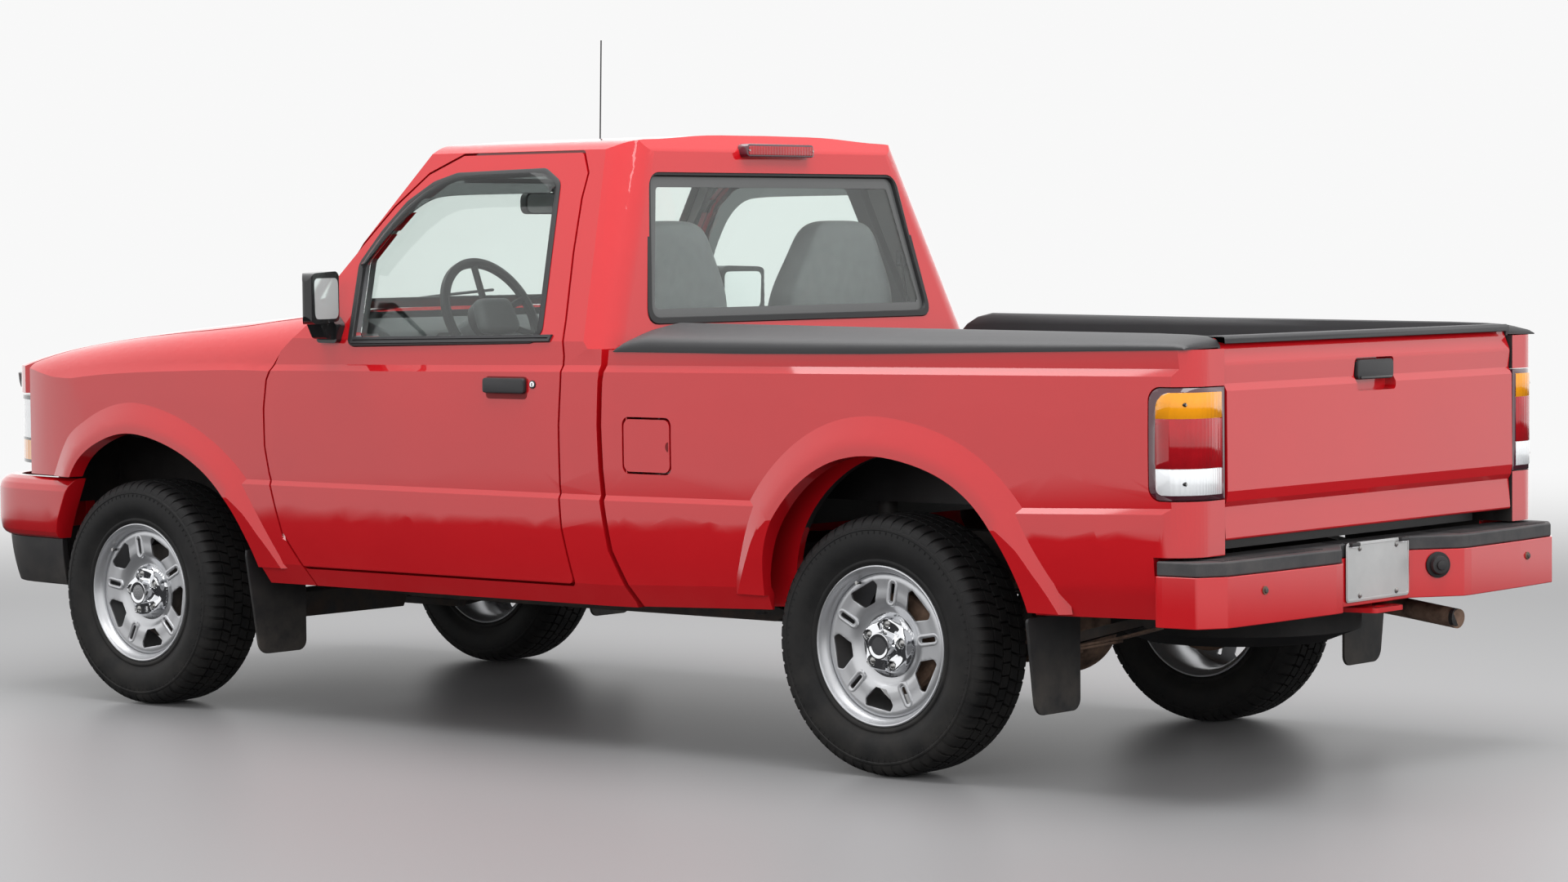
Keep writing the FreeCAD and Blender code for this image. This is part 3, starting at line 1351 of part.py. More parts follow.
def make_rear_axle():
    drum_in = track_rear / 2.0 - 78.0
    tube = cyl_y(rear_x, -drum_in, drum_in, axle_z, 38.0)
    ball = Part.makeSphere(138.0, vec(rear_x, 0, axle_z)).common(block(
        rear_x - 150, rear_x + 110, -120, 120, axle_z - 140, axle_z + 140,
    ))
    nose = rod(vec(rear_x + 80.0, 0, axle_z + 6.0), vec(rear_x + 240.0, 0, axle_z + 14.0), 48.0)
    drum = cyl_y(rear_x, drum_in - 1.0, drum_in + 64.0, axle_z, 132.0)
    stub = cyl_y(rear_x, drum_in, track_rear / 2.0 + stub_reach, axle_z, stub_r)
    shaft = rod(vec(rear_x + 238.0, 0, axle_z + 14.0), vec(fx(-1000) - 4.0, 0, 470.0), 34.0)
    save("rear_axle", fuse([tube, ball, nose, drum, flip(drum), stub, flip(stub), shaft]))


def make_springs():
    """A leaf spring under each rail, with its eyes and hangers."""
    y = rail_y_rear + rail_w / 2.0 + 40.0
    inner_y = rail_y_rear + rail_w / 2.0 + seat_fit
    top = [(rx(640), 400.0), (rx(300), 330.0), (rx(0), axle_z - 39.0), (rx(-320), 350.0), (rx(-640), 430.0)]
    low = [(x, z - 34.0 + 10.0 * abs(x - rear_x) / 640.0) for x, z in top]
    place = in_xz(y - 30.0)
    back = Part.makeLine(place(*top[-1]), place(*low[-1]))
    front = Part.makeLine(place(*low[0]), place(*top[0]))
    wire = Part.Wire([spline(top, place), back, spline(list(reversed(low)), place), front])
    leaf = prism(wire, vec(0, 60.0, 0))
    eye_front = cyl_y(rx(640), y - 30.0, y + 30.0, 390.0, 26.0)
    eye_rear = cyl_y(rx(-640), y - 30.0, y + 30.0, 422.0, 26.0)
    hang_front = block(rx(640) - 30.0, rx(640) + 30.0, inner_y, y + 30.0, 395.0, 440.0)
    hang_rear = block(rx(-640) - 20.0, rx(-640) + 20.0, inner_y, y + 30.0, 425.0, 520.0)
    save("leaf_springs", both(fuse([leaf, eye_front, eye_rear, hang_front, hang_rear])))


def make_engine():
    engine = block(fx(-480), fx(330), -260.0, 260.0, 470.0, 1010.0)
    gearbox = block(fx(-1000), fx(-479), -120.0, 120.0, 396.0 + seat_fit, 530.0)
    mount = block(fx(-260), fx(-160), 259.0, rail_y_front - rail_w / 2.0 - seat_fit, 471.0, 510.0)
    save("engine", fuse([engine, gearbox, mount, flip(mount)]))


def make_front_structure():
    """Inner wing panels beside the engine and the radiator support that joins them."""
    side = block(fx(-560), fx(561), 408.0, 424.0, 590.0, 1000.0)
    top = block(fx(-560), fx(500), 408.0, body_half - 158.0, 985.0, 1000.0)
    for x0, x1 in ((-420.0, -340.0), (-140.0, -60.0)):
        top = top.fuse(block(fx(x0), fx(x1), body_half - 168.0, body_half - skin - 4.0, 985.0, 1000.0))
    support = block(fx(support_x) - 40.0, fx(support_x), -640.0, 640.0, 580.0, 925.0)
    hole = block(fx(500), fx(700), -330.0, 330.0, 610.0, 880.0)
    core = block(fx(565), fx(590), -331.0, 331.0, 609.0, 881.0)
    top = top.cut(block(fx(440), fx(700), 640.0, beyond, 0, 1400))
    save("front_structure", fuse([side, flip(side), top, flip(top), support.cut(hole), core]))


def tube_along(points, r):
    """A round tube through points, with a ball at each bend."""
    pieces = []
    for a, b in zip(points, points[1:]):
        pieces.append(rod(a, b, r))
    for p in points[1:-1]:
        pieces.append(Part.makeSphere(r, p))
    return fuse(pieces)


def make_exhaust():
    front = tube_along(
        [vec(fx(-480), -205.0, 440.0), vec(fx(-800), -210.0, 427.0), vec(rx(900), -230.0, 415.0)], 24.0,
    )
    muffler = rod(vec(rx(900), -235.0, 385.0), vec(rx(460), -235.0, 385.0), 78.0)
    tail = tube_along([
        vec(rx(462), -250.0, 400.0), vec(rx(220), -330.0, 440.0), vec(rx(40), -374.0, 455.0), vec(
            rx(-300), -374.0, 450.0,
        ),
        vec(rx(-820), -374.0, 392.0), vec(rx(-1012), -345.0, 372.0)], 26.0)
    save("exhaust", fuse([front, muffler, tail]))


def make_tank():
    tank = plate_y(
        [
            (rx(430), 329, 40), (rx(1178), 329, 40), (rx(1178), 450, 30), (rx(905), 450, 20),
            (rx(860), 556, 40), (rx(430), 556, 50),
        ],
        60.0, 380.0,
    )
    strap = block(rx(620), rx(660), 370.0, rail_y_rear - rail_w / 2.0 - seat_fit, 400.0, 440.0)
    save("fuel_tank", fuse([tank, strap]))


def make_spare():
    centre = vec(rx(-545.0), 0.0, 420.0)
    points = [(190.0, -80.0), (245.0, -96.0), (328.0, -64.0), (328.0, 64.0), (245.0, 96.0), (190.0, 80.0)]
    wheel = Part.Face(loop(points, lambda r, w: centre + vec(r, 0, w))).revolve(centre, vec(0, 0, 1), 360.0)
    dish = Part.makeCylinder(196.0, 26.0, centre - vec(0, 0, 20.0))
    hanger = rod(centre, centre + vec(0, 0, bed_floor_z - 96.0 - seat_fit - 420.0), 12.0)
    save("spare_wheel", fuse([wheel, dish, hanger]))


def make_interior():
    dash = plate_y(
        [
            (fx(-706), 800, 20), (fx(-706), 1100, 20), (fx(-760), 1144, 40), (fx(-830), 1165, 40),
            (fx(-960), 1120, 40), (fx(-980), 980, 40), (fx(-820), 780, 30),
        ],
        -pillar_out + pillar_t + seat_fit, pillar_out - pillar_t - seat_fit,
    )
    column_axis = vec(math.cos(math.radians(24.0)), 0, -math.sin(math.radians(24.0)))
    hub = vec(fx(-1045), 380.0, 1160.0)
    column = rod(hub + column_axis * (34.0 + seat_fit), hub + column_axis * 320.0, 34.0)
    save("dashboard", fuse([dash, column]))
    seats = []
    for y in (-380.0, 380.0):
        back = plate_y(
            [(fx(-1560), 760, 60), (fx(-1690), 1440, 40), (fx(-1780), 1430, 40), (fx(-1780), 760, 60)],
            y - 240.0, y + 240.0,
        )
        cushion = plate_y(
            [(fx(-1060), 640, 40), (fx(-1060), 800, 60), (fx(-1700), 760, 30), (fx(-1700), 600, 30)],
            y - 250.0, y + 250.0,
        )
        base = block(fx(-1640), fx(-1120), y - 200.0, y + 200.0, floor_z + floor_t + seat_fit, 660.0)
        seats.append(fuse([back, cushion, base]))
    rest = plate_y(
        [(fx(-1120), 830, 30), (fx(-1120), 930, 30), (fx(-1600), 960, 30), (fx(-1600), 860, 30)], -110.0,
        110.0,
    )
    foot = block(fx(-1600), fx(-1200), -80.0, 80.0, tunnel_z + seat_fit, 860.0)
    save("seats", seats)
    save("armrest", fuse([rest, foot]))
    ring = Part.Face(loop(
        [(163, -8), (163, 8), (176, 14), (189, 8), (189, -8), (176, -14)], lambda r, w: vec(r, 0, w),
    )).revolve(vec(0, 0, 0), vec(0, 0, 1), 360.0)
    boss = Part.makeCylinder(62.0, 44.0, vec(0, 0, -34.0))
    spokes = []
    for angle in (180.0, 0.0, 250.0, 290.0):
        a = math.radians(angle)
        spokes.append(rod(
            vec(30.0 * math.cos(a), 30.0 * math.sin(a), -8.0),
            vec(174.0 * math.cos(a), 174.0 * math.sin(a), 0.0), 10.0,
        ))
    wheel = fuse([ring, boss] + spokes)
    turn = FreeCAD.Rotation(vec(0, 0, 1), column_axis * -1.0)
    wheel = wheel.copy()
    wheel.Placement = FreeCAD.Placement(hub, turn)
    save("steering_wheel", wheel)


def make_small_parts():
    """Mud flaps on short brackets, and the antenna with its foot."""
    y = body_half
    front_sheet = [(625, 178, 30), (y - 36, 178, 40), (y + 12, 470, 12), (y + 10, 509, 12), (625, 509, 12)]
    front_flap = plate_x(front_sheet, fx(-502), fx(-494))
    front_flap = front_flap.cut(block(fx(-510), fx(-480), y - 30.0, beyond, 488.0, 520.0))
    front_arm = block(fx(firewall_x) + seat_fit, fx(-500), 660.0, 740.0, 404.0, 436.0)
    rear_sheet = [
        (625, 190, 30), (y - 34, 190, 40), (y + 2, 436, 10), (692, 438, 8), (692, 523, 12), (625, 523, 12),
    ]
    rear_flap = plate_x(rear_sheet, rx(-490), rx(-482))
    rear_arm = block(rx(-490), rx(-482), 640.0, 682.0, 510.0, bed_floor_z - 20.0 - seat_fit)
    save("mud_flaps", both(fuse([front_flap, front_arm])) + both(fuse([rear_flap, rear_arm])))
    foot = Part.makeCone(22.0, 12.0, 34.0, vec(fx(-420), -765.0, 1105.0)).cut(flip(front_half(-seat_fit)))
    mast = rod(vec(fx(-420), -765.0, 1136.0), vec(fx(-440), -770.0, 2032.0), 2.4)
    save("antenna", fuse([foot, mast]))


make_front()
make_deflector()
make_lamps_and_grille()
make_front_bumper()
cab_side = make_cab()
make_door(cab_side)
make_mirrors()
make_bed()
make_high_lamp()
make_rail_caps()
make_bed_box()
make_tailgate()
make_rear_bumper()
make_tow_bracket()
make_frame()
make_wheels()
make_knuckles()
make_front_suspension()
make_rear_axle()
make_springs()
make_engine()
make_front_structure()
make_exhaust()
make_tank()
make_spare()
make_interior()
make_small_parts()

for name in sorted(nodes):
    shape = nodes[name]
    box = shape.BoundBox
    spans = (box.XMin, box.XMax, box.YMin, box.YMax, box.ZMin, box.ZMax)
    print("%-18s solids %d valid %s x %.0f..%.0f y %.0f..%.0f z %.0f..%.0f" % ((
        name, len(shape.Solids), shape.isValid(),
    ) + spans))
    shape.exportStep(os.path.join("parts", name + ".step"))
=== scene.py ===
import json
import math

import bmesh
import bpy
from mathutils import Euler, Matrix, Vector
from mathutils.bvhtree import BVHTree

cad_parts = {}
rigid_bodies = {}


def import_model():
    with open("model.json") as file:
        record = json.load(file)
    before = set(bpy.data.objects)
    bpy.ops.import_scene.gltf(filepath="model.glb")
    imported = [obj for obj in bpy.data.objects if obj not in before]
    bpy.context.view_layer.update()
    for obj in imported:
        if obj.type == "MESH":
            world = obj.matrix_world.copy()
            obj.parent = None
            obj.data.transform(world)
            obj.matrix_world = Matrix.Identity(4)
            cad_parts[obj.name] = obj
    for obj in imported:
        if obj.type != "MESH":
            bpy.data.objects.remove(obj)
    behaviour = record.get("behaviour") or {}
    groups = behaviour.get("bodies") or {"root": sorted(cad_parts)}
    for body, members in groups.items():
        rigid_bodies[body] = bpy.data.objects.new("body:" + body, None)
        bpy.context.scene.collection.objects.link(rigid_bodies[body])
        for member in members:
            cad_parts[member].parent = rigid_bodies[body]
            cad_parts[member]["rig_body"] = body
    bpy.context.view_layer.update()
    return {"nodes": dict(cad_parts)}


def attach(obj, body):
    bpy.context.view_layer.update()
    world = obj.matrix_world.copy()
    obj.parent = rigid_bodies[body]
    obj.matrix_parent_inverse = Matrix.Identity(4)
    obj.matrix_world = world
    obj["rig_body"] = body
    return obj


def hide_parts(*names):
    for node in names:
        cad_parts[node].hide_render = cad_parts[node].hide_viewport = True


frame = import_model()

bl_info = {
    "name": "Pickup Truck Dressing",
    "version": (1, 0, 0),
    "blender": (4, 5, 0),
    "location": "3D View > Sidebar > Truck",
    "description": "Dresses the compact pickup truck's frame with its finished pieces",
    "category": "Object",
}

nodes = frame["nodes"]

# Places that the pieces share, in metres in the row frame
front_axle_x = 1.5135
rear_axle_x = -1.3215
axle_height = 0.338
track_half_front = 0.743
track_half_rear = 0.7275
body_half = 0.848
belt_height = 1.11

camera_place = Vector((-7.65645, 8.79563, 1.37009))
camera_yaw = math.radians(-50.18)
camera_pitch = math.radians(2.83)
camera_roll = math.radians(-0.51)
camera_lens = 91.58

wheel_places = [
    (end, name, side, x, half)
    for end, x, half in (("front", front_axle_x, track_half_front), ("rear", rear_axle_x, track_half_rear))
    for name, side in (("left", 1.0), ("right", -1.0))]


def ax(x):
    """A place along the truck, given from the front axle with forward positive."""
    return front_axle_x + x


# ---- mesh helpers

# How two places across an axis and one along it make a point
across_axis = {
    "x": lambda a, b, t: (t, a, b),
    "y": lambda a, b, t: (a, t, b),
    "z": lambda a, b, t: (a, b, t),
}
# Where a ray starts that runs in along each axis, clear of the truck
outside = {"x": 4.0, "y": 2.0, "z": 4.0}


def link(obj):
    bpy.context.scene.collection.objects.link(obj)
    return obj


def mesh_from(bm, name):
    """Makes a mesh of the bmesh and frees it."""
    mesh = bpy.data.meshes.new(name)
    bm.to_mesh(mesh)
    bm.free()
    return mesh


def object_from(bm, name):
    return link(bpy.data.objects.new(name, mesh_from(bm, name)))


def strip(bm, a, b):
    """Faces between two closed rows of as many points."""
    for i in range(len(a)):
        j = (i + 1) % len(a)
        bm.faces.new((a[i], a[j], b[j], b[i]))


def prism(bm, a, b):
    """A solid between two outlines of as many points."""
    bm.faces.new(a)
    bm.faces.new(list(reversed(b)))
    strip(bm, b, a)


def loop_of_rows(bm, rows):
    """Faces between each row and the next, and between the last and the first."""
    for a, b in zip(rows, rows[1:] + rows[:1]):
        strip(bm, a, b)


def turns(count):
    """Angles evenly round a circle."""
    return [2.0 * math.pi * k / count for k in range(count)]


def cut_across(bm, place, normal):
    """New edges where a plane crosses the faces."""
    bmesh.ops.bisect_plane(bm, geom=bm.verts[:] + bm.edges[:] + bm.faces[:], plane_co=place, plane_no=normal)


def dress(mesh, finish_names, angle):
    """Gives the mesh its finishes and smooth faces, with edges sharper than the angle kept sharp."""
    for name in finish_names:
        mesh.materials.append(finishes[name])
    mesh.shade_smooth()
    mesh.set_sharp_from_angle(angle=math.radians(angle))


skins = {}


def touch(node, start, along):
    """The place and normal where a ray first meets a CAD node, or None for both."""
    if node not in skins:
        data = nodes[node].data
        skins[node] = BVHTree.FromPolygons([v.co for v in data.vertices], [tuple(p.vertices) for p in data.polygons])
    return skins[node].ray_cast(Vector(start), Vector(along))[:2]


def grown(outline, d):
    """The outline moved outwards by d along its corner normals; the outline may run either way round."""
    count = len(outline)
    area = sum(outline[i - 1][0] * outline[i][1] - outline[i][0] * outline[i - 1][1] for i in range(count))
    sign = 1.0 if area > 0.0 else -1.0
    out = []
    for i in range(count):
        here = Vector(outline[i][:2])
        before = (here - Vector(outline[i - 1][:2])).normalized()
        after = (Vector(outline[(i + 1) % count][:2]) - here).normalized()
        turn = before + after
        if turn.length < 1e-6:
            turn = after
        turn.normalize()
        lean = max(0.5, turn.dot(after))
        out.append((here.x + turn.y * sign * d / lean, here.y - turn.x * sign * d / lean))
    return out


def divided(outer, inner, step):
    """Two matching outlines with as many points added to each of their edges, by the outer one's lengths."""
    far, near = [], []
    for k in range(len(outer)):
        a, b = Vector(outer[k - 1]), Vector(outer[k])
        c, d = Vector(inner[k - 1]), Vector(inner[k])
        count = max(1, int((b - a).length / step))
        far += [tuple(a.lerp(b, i / count)) for i in range(count)]
        near += [tuple(c.lerp(d, i / count)) for i in range(count)]
    return far, near


class Kit:
    """Collects the shapes of one piece, each with its material, and makes one object of them."""

    def __init__(self, name, body, side=1):
        self.name = name
        self.body = body
        self.side = side
        self.bm = bmesh.new()
        self.materials = []

    def slot(self, finish):
        if finish not in self.materials:
            self.materials.append(finish)
        return self.materials.index(finish)

    def take(self, part, finish, bevel=0.0, segments=2, angle=40.0, recalc=True):
        """Moves a small bmesh into the piece, with its sharp edges rounded by bevel."""
        if recalc:
            bmesh.ops.recalc_face_normals(part, faces=part.faces)
        if bevel > 0.0:
            limit = math.radians(angle)
            sharp = [e for e in part.edges if len(e.link_faces) == 2 and e.calc_face_angle(0.0) > limit]
            bmesh.ops.bevel(
                part, geom=sharp, offset=bevel, segments=segments, profile=0.6, affect="EDGES", clamp_overlap=True)
        index = self.slot(finish)
        for face in part.faces:
            face.material_index = index
        mesh = mesh_from(part, "part")
        self.bm.from_mesh(mesh)
        bpy.data.meshes.remove(mesh)

    def box(self, low, high, finish, bevel=0.002, segments=2, turn=None, about=None):
        part = bmesh.new()
        bmesh.ops.create_cube(part, size=1.0)
        low = Vector(low)
        high = Vector(high)
        size = high - low
        middle = (high + low) / 2.0
        for v in part.verts:
            v.co = Vector((v.co.x * size.x, v.co.y * size.y, v.co.z * size.z)) + middle
        if turn is not None:
            centre = Vector(about) if about is not None else middle
            bmesh.ops.rotate(part, cent=centre, matrix=Euler(turn).to_matrix(), verts=part.verts)
        self.take(part, finish, bevel, segments)

    def bar(self, start, end, r, finish, r2=None, sides=20, bevel=0.0):
        """A round bar or cone from start to end."""
        start = Vector(start)
        end = Vector(end)
        along = end - start
        part = bmesh.new()
        bmesh.ops.create_cone(
            part, cap_ends=True, segments=sides, radius1=r, radius2=r if r2 is None else r2, depth=along.length)
        turn = along.to_track_quat("Z", "Y").to_matrix().to_4x4()
        bmesh.ops.transform(part, matrix=Matrix.Translation((start + end) / 2.0) @ turn, verts=part.verts)
        self.take(part, finish, bevel, 2, 50.0)

    def slab(self, outline, axis, low, high, finish, bevel=0.002, segments=2):
        """An outline in a plane across the axis, given thickness from low to high along it."""
        part = bmesh.new()
        prism(part, *([part.verts.new(across_axis[axis](a, b, t)) for a, b in outline] for t in (low, high)))
        self.take(part, finish, bevel, segments, 25.0)

    def rings(self, rings, finish, bevel=0.0, angle=40.0):
        """A skin through closed rings of points, with flat ends."""
        part = bmesh.new()
        rows = [[part.verts.new(p) for p in ring] for ring in rings]
        for a, b in zip(rows, rows[1:]):
            strip(part, a, b)
        part.faces.new(list(reversed(rows[0])))
        part.faces.new(rows[-1])
        self.take(part, finish, bevel, 2, angle)

    def lathe(self, profile, centre, finish, axis="y", steps=48):
        """A closed profile of radius against place along the axis, spun about the centre."""
        part = bmesh.new()
        centre = Vector(centre)
        loop_of_rows(part, [
            [
                part.verts.new(centre + Vector(across_axis[axis](r * math.sin(a), r * math.cos(a), w))) for r,
                w in profile]
            for a in turns(steps)])
        bmesh.ops.remove_doubles(part, verts=part.verts, dist=1e-6)
        self.take(part, finish)

    def pipe(self, points, r, finish, sides=12):
        """A round tube along a soft line through the points."""
        line = soft_line([Vector(p) for p in points], 8)
        rings = []
        up = Vector((0.0, 0.0, 1.0))
        for i, p in enumerate(line):
            along = (line[min(len(line) - 1, i + 1)] - line[max(0, i - 1)]).normalized()
            if abs(along.dot(up)) > 0.97:
                up = Vector((0.0, 1.0, 0.0)) if abs(along.y) < 0.9 else Vector((1.0, 0.0, 0.0))
            across = along.cross(up).normalized()
            up = across.cross(along).normalized()
            rings.append([p + across * (r * math.cos(a)) + up * (r * math.sin(a)) for a in turns(sides)])
        self.rings(rings, finish)

    def patch(self, node, outline, axis, sign, lift, sink, finish, bevel=0.0):
        """An outline laid on a CAD node's surface as a raised pad that stands lift proud of it."""
        part = bmesh.new()
        top = []
        low = []
        last = None
        for a, b in outline:
            start = Vector(across_axis[axis](a, b, outside[axis] * sign))
            along = Vector(across_axis[axis](0.0, 0.0, -sign))
            hit = touch(node, start, along)[0]
            reach = (hit - start).length if hit is not None else last
            if reach is None:
                raise ValueError("no surface of %s under %s" % (node, self.name))
            last = reach
            top.append(part.verts.new(start + along * (reach - lift)))
            low.append(part.verts.new(start + along * (reach + sink)))
        prism(part, top, low)
        self.take(part, finish, bevel, 2, 50.0)

    def frame(self, outer, inner, place, lift, sink, finish):
        """A flat ring between two outlines of as many points; place turns (a, b, height) into a point."""
        part = bmesh.new()
        section = ((0.0, -sink), (0.0, lift * 0.6), (0.12, lift), (0.88, lift), (1.0, lift * 0.5), (1.0, -sink))
        loop_of_rows(part, [
            [part.verts.new(place(a0 + (a1 - a0) * t, b0 + (b1 - b0) * t, h)) for t, h in section]
            for (a0, b0), (a1, b1) in zip(outer, inner)])
        self.take(part, finish)

    def mesh_of(self, obj, finish):
        """Adds another object's mesh, as it shows with its modifiers, and removes the object."""
        graph = bpy.context.evaluated_depsgraph_get()
        mesh = bpy.data.meshes.new_from_object(obj.evaluated_get(graph))
        part = bmesh.new()
        part.from_mesh(mesh)
        bpy.data.meshes.remove(mesh)
        bpy.data.objects.remove(obj)
        self.take(part, finish, recalc=False)

    def mirror(self):
        """Adds the other side's copy of all that is in the piece so far."""
        made = bmesh.ops.duplicate(self.bm, geom=list(self.bm.verts) + list(self.bm.edges) + list(self.bm.faces))
        copies = [g for g in made["geom"] if isinstance(g, bmesh.types.BMVert)]
        for v in copies:
            v.co.y = -v.co.y
        bmesh.ops.reverse_faces(self.bm, faces=[g for g in made["geom"] if isinstance(g, bmesh.types.BMFace)])

    def done(self, angle=35.0, replaced=()):
        """Makes the object, gives it its finishes, and lets it ride on its body."""
        if self.side < 0:
            for v in self.bm.verts:
                v.co.y = -v.co.y
            bmesh.ops.reverse_faces(self.bm, faces=self.bm.faces)
        mesh = mesh_from(self.bm, self.name)
        dress(mesh, self.materials, angle)
        obj = link(bpy.data.objects.new(self.name, mesh))
        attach(obj, self.body)
        if replaced:
            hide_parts(*replaced)
        return obj


def soft_line(points, steps):
    """Points along a smooth curve that passes through all the given ones."""
    out = []
    padded = [points[0] * 2.0 - points[1]] + points + [points[-1] * 2.0 - points[-2]]
    for i in range(1, len(padded) - 2):
        p0, p1, p2, p3 = padded[i - 1:i + 3]
        for s in range(steps):
            t = s / float(steps)
            out.append(
                0.5 * ((2.0 * p1) + (p2 - p0) * t + (2.0 * p0 - 5.0 * p1 + 4.0 * p2 - p3) * t * t
                       + (3.0 * p1 - p0 - 3.0 * p2 + p3) * t * t * t))
    out.append(padded[-2])
    return out


def rounded(points, r, steps=4):
    """A flat outline with each corner rounded by r, or by the corner's own third value."""
    out = []
    count = len(points)
    for i in range(count):
        here = Vector(points[i][:2])
        radius = points[i][2] if len(points[i]) > 2 else r
        before = Vector(points[i - 1][:2]) - here
        after = Vector(points[(i + 1) % count][:2]) - here
        angle = before.angle(after)
        reach = min(radius / math.tan(angle / 2.0), before.length * 0.49, after.length * 0.49)
        a = here + before.normalized() * reach
        b = here + after.normalized() * reach
        for s in range(steps + 1):
            t = s / float(steps)
            p = (1 - t) * (1 - t) * a + 2 * t * (1 - t) * here + t * t * b
            out.append((p.x, p.y))
    return out


def cad_copy(node, name, finish, bevel=0.0016, angle=34.0, segments=2, zones=(), change=None):
    """A merged copy of a CAD node with its sharp edges rolled, which stands for the node.

    Each zone is a finish and a test of a face's middle and normal; the first that holds gives the face its finish."""
    source = nodes[node]
    bm = bmesh.new()
    bm.from_mesh(source.data)
    bmesh.ops.remove_doubles(bm, verts=bm.verts, dist=3e-5)
    bmesh.ops.dissolve_degenerate(bm, dist=1e-5, edges=bm.edges)
    bmesh.ops.dissolve_limit(bm, angle_limit=math.radians(0.05), verts=bm.verts, edges=bm.edges)
    if change is not None:
        change(bm)
    bm.normal_update()
    for face in bm.faces:
        face.material_index = 0
        middle = face.calc_center_median()
        for i, (_, test) in enumerate(zones):
            if test(middle, face.normal):
                face.material_index = i + 1
                break
    mesh = mesh_from(bm, name)
    dress(mesh, [finish] + [other for other, _ in zones], angle)
    obj = link(bpy.data.objects.new(name, mesh))
    if bevel > 0.0:
        edge = obj.modifiers.new("Rolled edges", "BEVEL")
        edge.width = bevel
        edge.segments = segments
        edge.limit_method = "ANGLE"
        edge.angle_limit = math.radians(min(angle, 17.0) if finish == "body red" else angle)
        edge.miter_outer = "MITER_ARC"
        weigh = obj.modifiers.new("Flat faces lead", "WEIGHTED_NORMAL")
        weigh.keep_sharp = True
        weigh.weight = 100
    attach(obj, source["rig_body"])
    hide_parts(node)
    return obj


# ---- node helpers

finishes = {}


def add(tree, kind, inputs=None, **settings):
    """A new node; each input gets a value, or a wire where it is given another node's output."""
    made = tree.nodes.new(kind)
    for name, value in settings.items():
        setattr(made, name, value)
    for name, value in (inputs or {}).items():
        if isinstance(value, bpy.types.NodeSocket):
            tree.links.new(value, made.inputs[name])
        else:
            made.inputs[name].default_value = value
    return made


def new_group(name, kind, takes, gives):
    """A node group with its inputs, each with its default, and its outputs; gives the sockets inside it too."""
    group = bpy.data.node_groups.new(name, kind)
    for way, rows in (("INPUT", takes), ("OUTPUT", gives)):
        for title, sort, *default in rows:
            made = group.interface.new_socket(name=title, in_out=way, socket_type="NodeSocket" + sort)
            if default:
                made.default_value = default[0]
    return group, group.nodes.new("NodeGroupInput").outputs, group.nodes.new("NodeGroupOutput").inputs


def math_node(tree, operation, *values, **settings):
    """The output of a Math node on the values."""
    return add(tree, "ShaderNodeMath", dict(enumerate(values)), operation=operation, **settings).outputs[0]


def span(tree, value, low, high, inputs=None, soft=True):
    """The output of a Map Range node, 0 at low and 1 at high unless the inputs say otherwise."""
    return add(
        tree, "ShaderNodeMapRange", {"Value": value, "From Min": low, "From Max": high, **(inputs or {})},
        interpolation_type="SMOOTHSTEP" if soft else "LINEAR").outputs["Result"]


def color_mix(tree, factor, a, b):
    return add(tree, "ShaderNodeMix", {"Factor": factor, "A": a, "B": b}, data_type="RGBA").outputs["Result"]


def grime_group():
    """Colour and roughness with a film of road dust that grows towards the ground, and soft blotches."""
    group, given, result = new_group(
        "Road dust", "ShaderNodeTree",
        (("Color", "Color", (0.5, 0.5, 0.5, 1.0)), ("Dust Color", "Color", (0.26, 0.22, 0.18, 1.0)),
         ("Dust Amount", "Float", 0.3), ("Dust Top", "Float", 0.6), ("Blotch", "Float", 0.08),
         ("Blotch Scale", "Float", 6.0), ("Roughness", "Float", 0.4)),
        (("Color", "Color"), ("Roughness", "Float")))
    place = add(group, "ShaderNodeTexCoord").outputs["Object"]
    height = add(group, "ShaderNodeSeparateXYZ", {0: place}).outputs["Z"]
    cloud = add(group, "ShaderNodeTexNoise", {
        "Vector": place, "Scale": given["Blotch Scale"], "Detail": 6.0, "Roughness": 0.62}).outputs["Fac"]
    low = span(group, height, 0.05, given["Dust Top"], {"To Min": 1.0, "To Max": 0.0})
    film = math_node(group, "MULTIPLY", low, span(group, cloud, 0.35, 0.7, soft=False))
    amount = math_node(group, "MULTIPLY", film, given["Dust Amount"])
    drop = math_node(group, "SUBTRACT", 1.0, given["Blotch"])
    shade = span(group, cloud, 0.3, 0.7, {"To Min": drop, "To Max": 1.0}, soft=False)
    dim = add(group, "ShaderNodeVectorMath", {0: given["Color"], "Scale": shade}, operation="SCALE").outputs[0]
    rough = math_node(group, "MULTIPLY_ADD", amount, 0.5, given["Roughness"], use_clamp=True)
    group.links.new(color_mix(group, amount, dim, given["Dust Color"]), result["Color"])
    group.links.new(rough, result["Roughness"])


def grain_group():
    """A height for fine surface grain: pebbled plastic, orange peel in paint or cast metal."""
    group, given, result = new_group(
        "Surface grain", "ShaderNodeTree", (("Scale", "Float", 400.0), ("Soft", "Float", 0.5)), (("Height", "Float"),))
    place = add(group, "ShaderNodeTexCoord").outputs["Object"]
    ends = {"Vector": place, "Scale": given["Scale"]}
    fine = add(group, "ShaderNodeTexNoise", {**ends, "Detail": 2.0}).outputs["Fac"]
    cells = add(group, "ShaderNodeTexVoronoi", ends, feature="SMOOTH_F1").outputs["Distance"]
    mix = add(group, "ShaderNodeMix", {"Factor": given["Soft"], "A": cells, "B": fine})
    group.links.new(mix.outputs["Result"], result["Height"])


